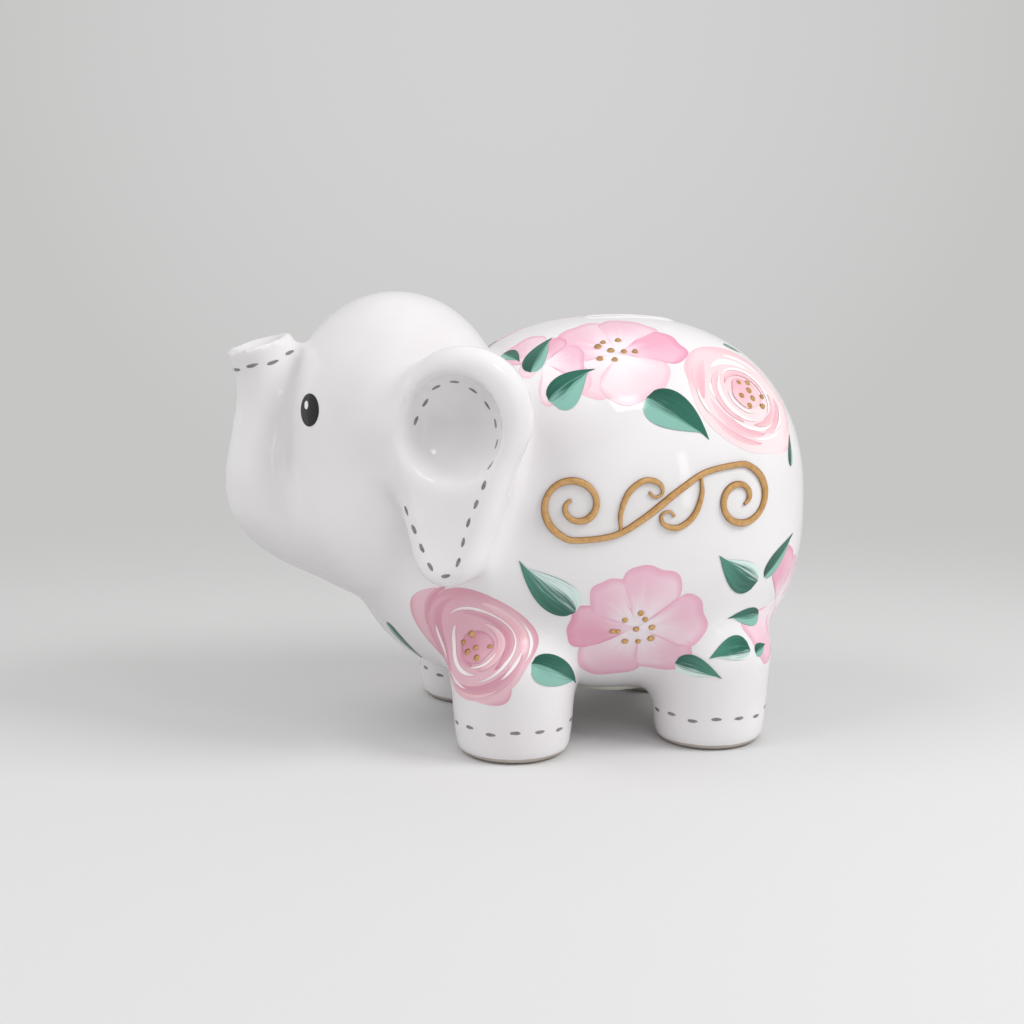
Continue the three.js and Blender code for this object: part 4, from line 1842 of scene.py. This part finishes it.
@dataclass
class GoldBeads:
    """The raised gold stamens in the hearts of four of the flowers."""

    form: BankForm
    palette: Palette
    radius: float = 1.15
    rise: float = 0.75
    hearts: tuple[tuple[Point, tuple[Flat, ...]], ...] = (
        (FLANK_HEART, ((-4.4, 3.6), (1.1, 6.3), (2.9, 3.7), (5.8, 0.1), (0.1, -0.4),
                       (-6.4, -1.2), (-8.2, -1.2), (-3.3, -5.8), (1.5, -6), (6.1, -4.9))),
        (CROWN_HEART, ((-5.8, 4.8), (-3.5, 7), (2.1, 7.6), (-1.8, 1.9), (2.7, 0.9),
                       (6.7, 0.6), (-6.5, -1.8), (-1.4, -3))),
        (RUMP_ROSE_HEART, ((2, 7.4), (6.5, 8.1), (1.8, 1.9), (6, 4.8), (7, 1.7), (4.8, -1.6),
                           (12.5, 3.8), (11.6, -0.3))),
        (CHEST_ROSE_HEART, ((0.8, 4.5), (-3.4, 3), (1.2, -0.8), (-2.4, -1.1), (6.5, -1.9),
                            (1.1, -4.6))),
    )

    def build(self) -> None:
        """Places the beads on both flanks."""
        draw = random.Random(21)
        beads = []
        for near, places in self.hearts:
            spot = Spot.near(self.form, near)
            for x, y in places:
                start = (spot.origin + x * spot.right + y * spot.up + 10 * spot.out)[None]
                point = self.form.fall(start, -spot.out[None])
                out = self.form.normal(point)[0]
                own = Spot.near(self.form, point[0])
                size = self.radius * draw.uniform(0.85, 1.15)
                turn = np.stack([own.right, own.up, own.out], 1)
                seat = point[0] + out * 0.25
                beads.append(ball(seat, (size, size * draw.uniform(0.8, 1), self.rise), turn, 16))
        left = join(beads, "gold_beads_left")
        smooth(left, 60)
        self.palette.dress(left, RaisedGold())
        for piece in (left, mirrored(left, "gold_beads_right")):
            finish_piece(piece, "bank", "gold")


@dataclass
class Flourish:
    """The piped gold scroll on the left flank: a plain ornament that spells nothing."""

    form: BankForm
    palette: Palette
    bead: float = 1.2
    spiral: float = 12.0
    turns: float = 1.4
    eye: float = 0.2
    clear_of_flank: float = 90.0
    rise: float = 0.35
    sweep: tuple[Flat, ...] = ((1.1, -0.86), (1.9, -0.42))
    tendril: tuple[Flat, ...] = (
        (-14.5, -8.7), (-14.6, -2.6), (-11.6, 4.6), (-6, 8.4), (-0.8, 7.2), (0.2, 3.8),
        (-2.6, 2.6), (-4.6, 4.4),
    )

    def scroll(self) -> list[Flat]:
        """The main line: a long sweep with a volute at each end, alike when turned round."""
        low, high = span("gold_flourish")
        half_length = (high[1] - low[1]) / 2 - self.bead / 2
        hub = self.spiral - half_length
        half = []
        steps = 20
        for i in range(steps + 1):
            t = i / steps
            angle = -math.pi / 2 - self.turns * 2 * math.pi * (1 - t)
            r = self.spiral * (self.eye + (1 - self.eye) * t)
            half.append((hub + r * math.cos(angle), r * math.sin(angle)))
        half += [(hub + a * self.spiral, b * self.spiral) for a, b in self.sweep]
        return [*half, (0, 0), *((-a, -b) for a, b in reversed(half))]

    def pipe(self, route: Sequence[Flat], girth: Callable[[float], float],
             centre: Flat) -> bpy.types.Object:
        """Pipes one bead of gold along a route on the flank.

        Args:
            route: Places along and up, about the flourish's centre.
            girth: The bead's radius for a place from 0 to 1 along it.
            centre: The flourish's centre, along and up.

        Returns:
            The bead's mesh.
        """
        line = smooth_route(route, 6)
        start = np.stack([np.full(len(line), self.clear_of_flank), line[:, 0] + centre[0],
                          line[:, 1] + centre[1]], 1)
        landed = self.form.fall(start, np.tile([-1.0, 0, 0], (len(line), 1)), 80)
        landed = landed + self.form.normal(landed) * (self.rise * self.bead)
        curve = bpy.data.curves.new("gold_line", "CURVE")
        curve.dimensions = "3D"
        curve.bevel_depth = MM
        curve.bevel_resolution = 5
        curve.use_fill_caps = True
        spline = curve.splines.new("POLY")
        spline.points.add(len(landed) - 1)
        for i, (point, place) in enumerate(zip(spline.points, landed)):
            point.co = (*(place * MM), 1.0)
            point.radius = girth(i / (len(landed) - 1))
        obj = bpy.data.objects.new("gold_line", curve)
        bpy.context.scene.collection.objects.link(obj)
        only(obj)
        bpy.ops.object.convert(target="MESH")
        return fresh("gold_line")

    def build(self) -> None:
        """Pipes the flourish."""
        low, high = span("gold_flourish")
        centre = ((low[1] + high[1]) / 2, (low[2] + high[2]) / 2)

        def swell(t: float) -> float:
            """Pen pressure along the main line."""
            ends = min(1.0, 8 * t, 8 * (1 - t))
            return self.bead * (0.55 + 0.45 * ends) * (0.92 + 0.16 * math.sin(9 * math.pi * t) ** 2)

        def taper(t: float) -> float:
            """Pen pressure along a side curl."""
            return self.bead * (0.45 + 0.5 * math.sin(math.pi * min(t * 1.4, 1.0)))

        lines = [self.pipe(self.scroll(), swell, centre)]
        for side in (-1, 1):
            curl = [(side * a, side * b) for a, b in self.tendril]
            lines.append(self.pipe(curl, taper, centre))
        piece = join(lines, "gold_flourish_piped")
        smooth(piece, 50)
        self.palette.dress(piece, RaisedGold())
        finish_piece(piece, "bank", "gold", "gold_flourish")


@dataclass
class Plug:
    """The soft round stopper pressed into the belly."""

    palette: Palette
    groove: float = 0.5

    def build(self) -> None:
        """Turns the plug and cuts its finger grip."""
        low, high = span("stopper")
        middle = (low[1] + high[1]) / 2
        foot, tip = low[2], high[2]
        rim, neck, flange = 20.0, 15.7, 1.9
        seat = foot + flange
        profile = [
            (0, foot + 0.7), (5.2, foot + 0.7), (5.9, foot + 0.2), (6.6, foot), (7.4, foot + 0.2),
            (8, foot + self.groove), (13.4, foot + self.groove), (14, foot + 0.12), (14.8, foot),
            (rim - 1.3, foot), (rim - 0.5, foot + 0.2), (rim - 0.1, foot + 0.7), (rim, foot + 1.2),
            (rim - 0.15, seat - 0.15), (rim - 0.5, seat), (neck + 0.1, seat),
        ]
        for rib in (3.2, 6.4):
            profile += [(neck - 0.35, seat + rib - 0.9), (neck - 0.05, seat + rib - 0.3),
                        (neck + 0.1, seat + rib), (neck - 0.05, seat + rib + 0.3),
                        (neck - 0.35, seat + rib + 0.9)]
        profile += [(neck - 0.3, tip - 2.2), (neck - 1, tip - 0.4), (neck - 1.5, tip),
                    (neck - 2.2, tip - 0.2), (neck - 2.4, tip - 0.8), (neck - 2.4, seat + 0.6),
                    (neck - 2.9, seat + 0.1), (0, seat)]
        plug = turned(profile, (0, middle), "belly_plug", 128)
        smooth(plug, 45)
        self.palette.dress(plug, PlugRubber())
        finish_piece(plug, "plug", "stopper_rubber", "stopper")


# ---------------------------------------------------------------------------------------------
# The studio
# ---------------------------------------------------------------------------------------------


@dataclass(frozen=True)
class Lamp:
    """One soft box, aimed at the bank from a distance in millimetres."""

    name: str
    azimuth: float
    elevation: float
    distance: float
    size: Flat
    power: float
    mirrored: bool = False


@dataclass
class Studio:
    """Camera, pale sweep and soft light."""

    azimuth: float = 77.931
    elevation: float = 11.235
    distance: float = 711.2
    target: Point = (0, -3.77, 79.97)
    lens: float = 66.8
    backdrop: str = "c6c6c5"
    glow: str = "d2d2d2"
    room: str = "b0b0b0"
    sweep: str = "dadada"
    pool_ahead: float = 0.26
    pool_inner: float = 0.26
    pool_outer: float = 0.72
    lamps: tuple[Lamp, ...] = (
        Lamp("key", 150, 40, 1100, (480, 420), 6.6),
        Lamp("fill", 8, 46, 1300, (900, 900), 6.8),
        Lamp("side", 95, 10, 1200, (700, 500), 1.2),
        Lamp("window", 107, 53, 1000, (170, 170), 0.5, True),
        Lamp("strip", 116, 8, 1000, (60, 420), 0.2, True),
        Lamp("edge", -33, 13, 1000, (70, 200), 0.15, True),
    )

    @staticmethod
    def toward(azimuth: float, elevation: float) -> Vector:
        """The direction from the bank to a place round it.

        Args:
            azimuth: The angle round the bank, in degrees.
            elevation: The angle above the floor, in degrees.

        Returns:
            A unit vector.
        """
        a, e = math.radians(azimuth), math.radians(elevation)
        return Vector((math.sin(a) * math.cos(e), -math.cos(a) * math.cos(e), math.sin(e)))

    def camera(self) -> None:
        """Sets the camera up."""
        data = bpy.data.cameras.new("camera")
        data.lens = self.lens
        data.sensor_width = 36
        data.clip_start, data.clip_end = 0.01, 30
        camera = bpy.data.objects.new("camera", data)
        bpy.context.scene.collection.objects.link(camera)
        back = self.toward(self.azimuth, self.elevation)
        camera.location = (Vector(self.target) + back * self.distance) * MM
        camera.rotation_euler = (-back).to_track_quat("-Z", "Y").to_euler()
        bpy.context.scene.camera = camera

    def lights(self) -> None:
        """Hangs the lamps; only the small ones show in the glaze."""
        middle = Vector(self.target)
        for lamp in self.lamps:
            data = bpy.data.lights.new(lamp.name, "AREA")
            data.shape = "RECTANGLE"
            data.size, data.size_y = lamp.size[0] * MM, lamp.size[1] * MM
            data.energy = lamp.power
            obj = bpy.data.objects.new(lamp.name, data)
            bpy.context.scene.collection.objects.link(obj)
            way = self.toward(lamp.azimuth, lamp.elevation)
            obj.location = (middle + way * lamp.distance) * MM
            obj.rotation_euler = (-way).to_track_quat("-Z", "Y").to_euler()
            obj.visible_camera = False
            obj.visible_glossy = lamp.mirrored

    def surroundings(self) -> None:
        """Tints the room: palest round the middle of the backdrop, dimmest opposite it."""
        world = bpy.data.worlds.new("studio")
        world.use_nodes = True
        bpy.context.scene.world = world
        bpy.context.scene.view_settings.view_transform = "Standard"
        nodes, links = world.node_tree.nodes, world.node_tree.links
        sky = nodes.new("ShaderNodeTexCoord").outputs["Generated"]
        facing = nodes.new("ShaderNodeVectorMath")
        facing.operation = "DOT_PRODUCT"
        links.new(sky, facing.inputs[0])
        facing.inputs[1].default_value = self.toward(self.azimuth + 180, 3)
        shade = nodes.new("ShaderNodeValToRGB")
        links.new(facing.outputs["Value"], shade.inputs[0])
        ramp = shade.color_ramp
        ramp.elements[0].position, ramp.elements[0].color = 0.0, tint(self.room)
        ramp.elements[1].position, ramp.elements[1].color = 1.0, tint(self.glow)
        for place, code in ((0.6, self.backdrop), (0.965, self.backdrop)):
            ramp.elements.new(place).color = tint(code)
        links.new(shade.outputs[0], nodes["Background"].inputs[0])

    def floor(self) -> None:
        """Lays the pale sweep, which fades into the surroundings away from the lit pool."""
        bpy.ops.mesh.primitive_circle_add(vertices=128, radius=2.4, fill_type="NGON")
        sheet = fresh("sweep")
        bench = NodeBench("sweep_paper")
        place = bench.place()
        middle = self.toward(self.azimuth, 0) * self.pool_ahead
        far = bench.tree.nodes.new("ShaderNodeVectorMath")
        far.operation = "DISTANCE"
        bench.tree.links.new(place, far.inputs[0])
        far.inputs[1].default_value = middle
        bench.feed(bench.shader.inputs["Base Color"], bench.blend(
            bench.noise(place, 3, 2), tint(self.sweep), tint("d7d7d7")))
        bench.shader.inputs["Roughness"].default_value = 0.9
        bench.shader.inputs["Specular IOR Level"].default_value = 0.15
        clear = bench.tree.nodes.new("ShaderNodeBsdfTransparent")
        fade = bench.tree.nodes.new("ShaderNodeMixShader")
        share = bench.step(far.outputs["Value"], self.pool_inner, self.pool_outer)
        bench.feed(fade.inputs[0], share)
        bench.tree.links.new(bench.shader.outputs[0], fade.inputs[1])
        bench.tree.links.new(clear.outputs[0], fade.inputs[2])
        output = next(n for n in bench.tree.nodes if n.type == "OUTPUT_MATERIAL")
        bench.tree.links.new(fade.outputs[0], output.inputs["Surface"])
        sheet.data.materials.append(bench.material)

    def build(self) -> None:
        """Sets the whole studio up."""
        self.camera()
        self.lights()
        self.surroundings()
        self.floor()


def main() -> None:
    """Builds the bank piece by piece, then the studio."""
    logging.basicConfig(level=logging.INFO, format="%(name)s %(message)s")
    form = form_from_frame()
    palette = Palette()
    ClayBody(form, palette).build()
    Plug(palette).build()
    Eyes(form, palette).build()
    Stitching(form, palette).build()
    Decoration(form, palette).build()
    GoldBeads(form, palette).build()
    Flourish(form, palette).build()
    Studio().build()


if __name__ == "__main__":
    main()
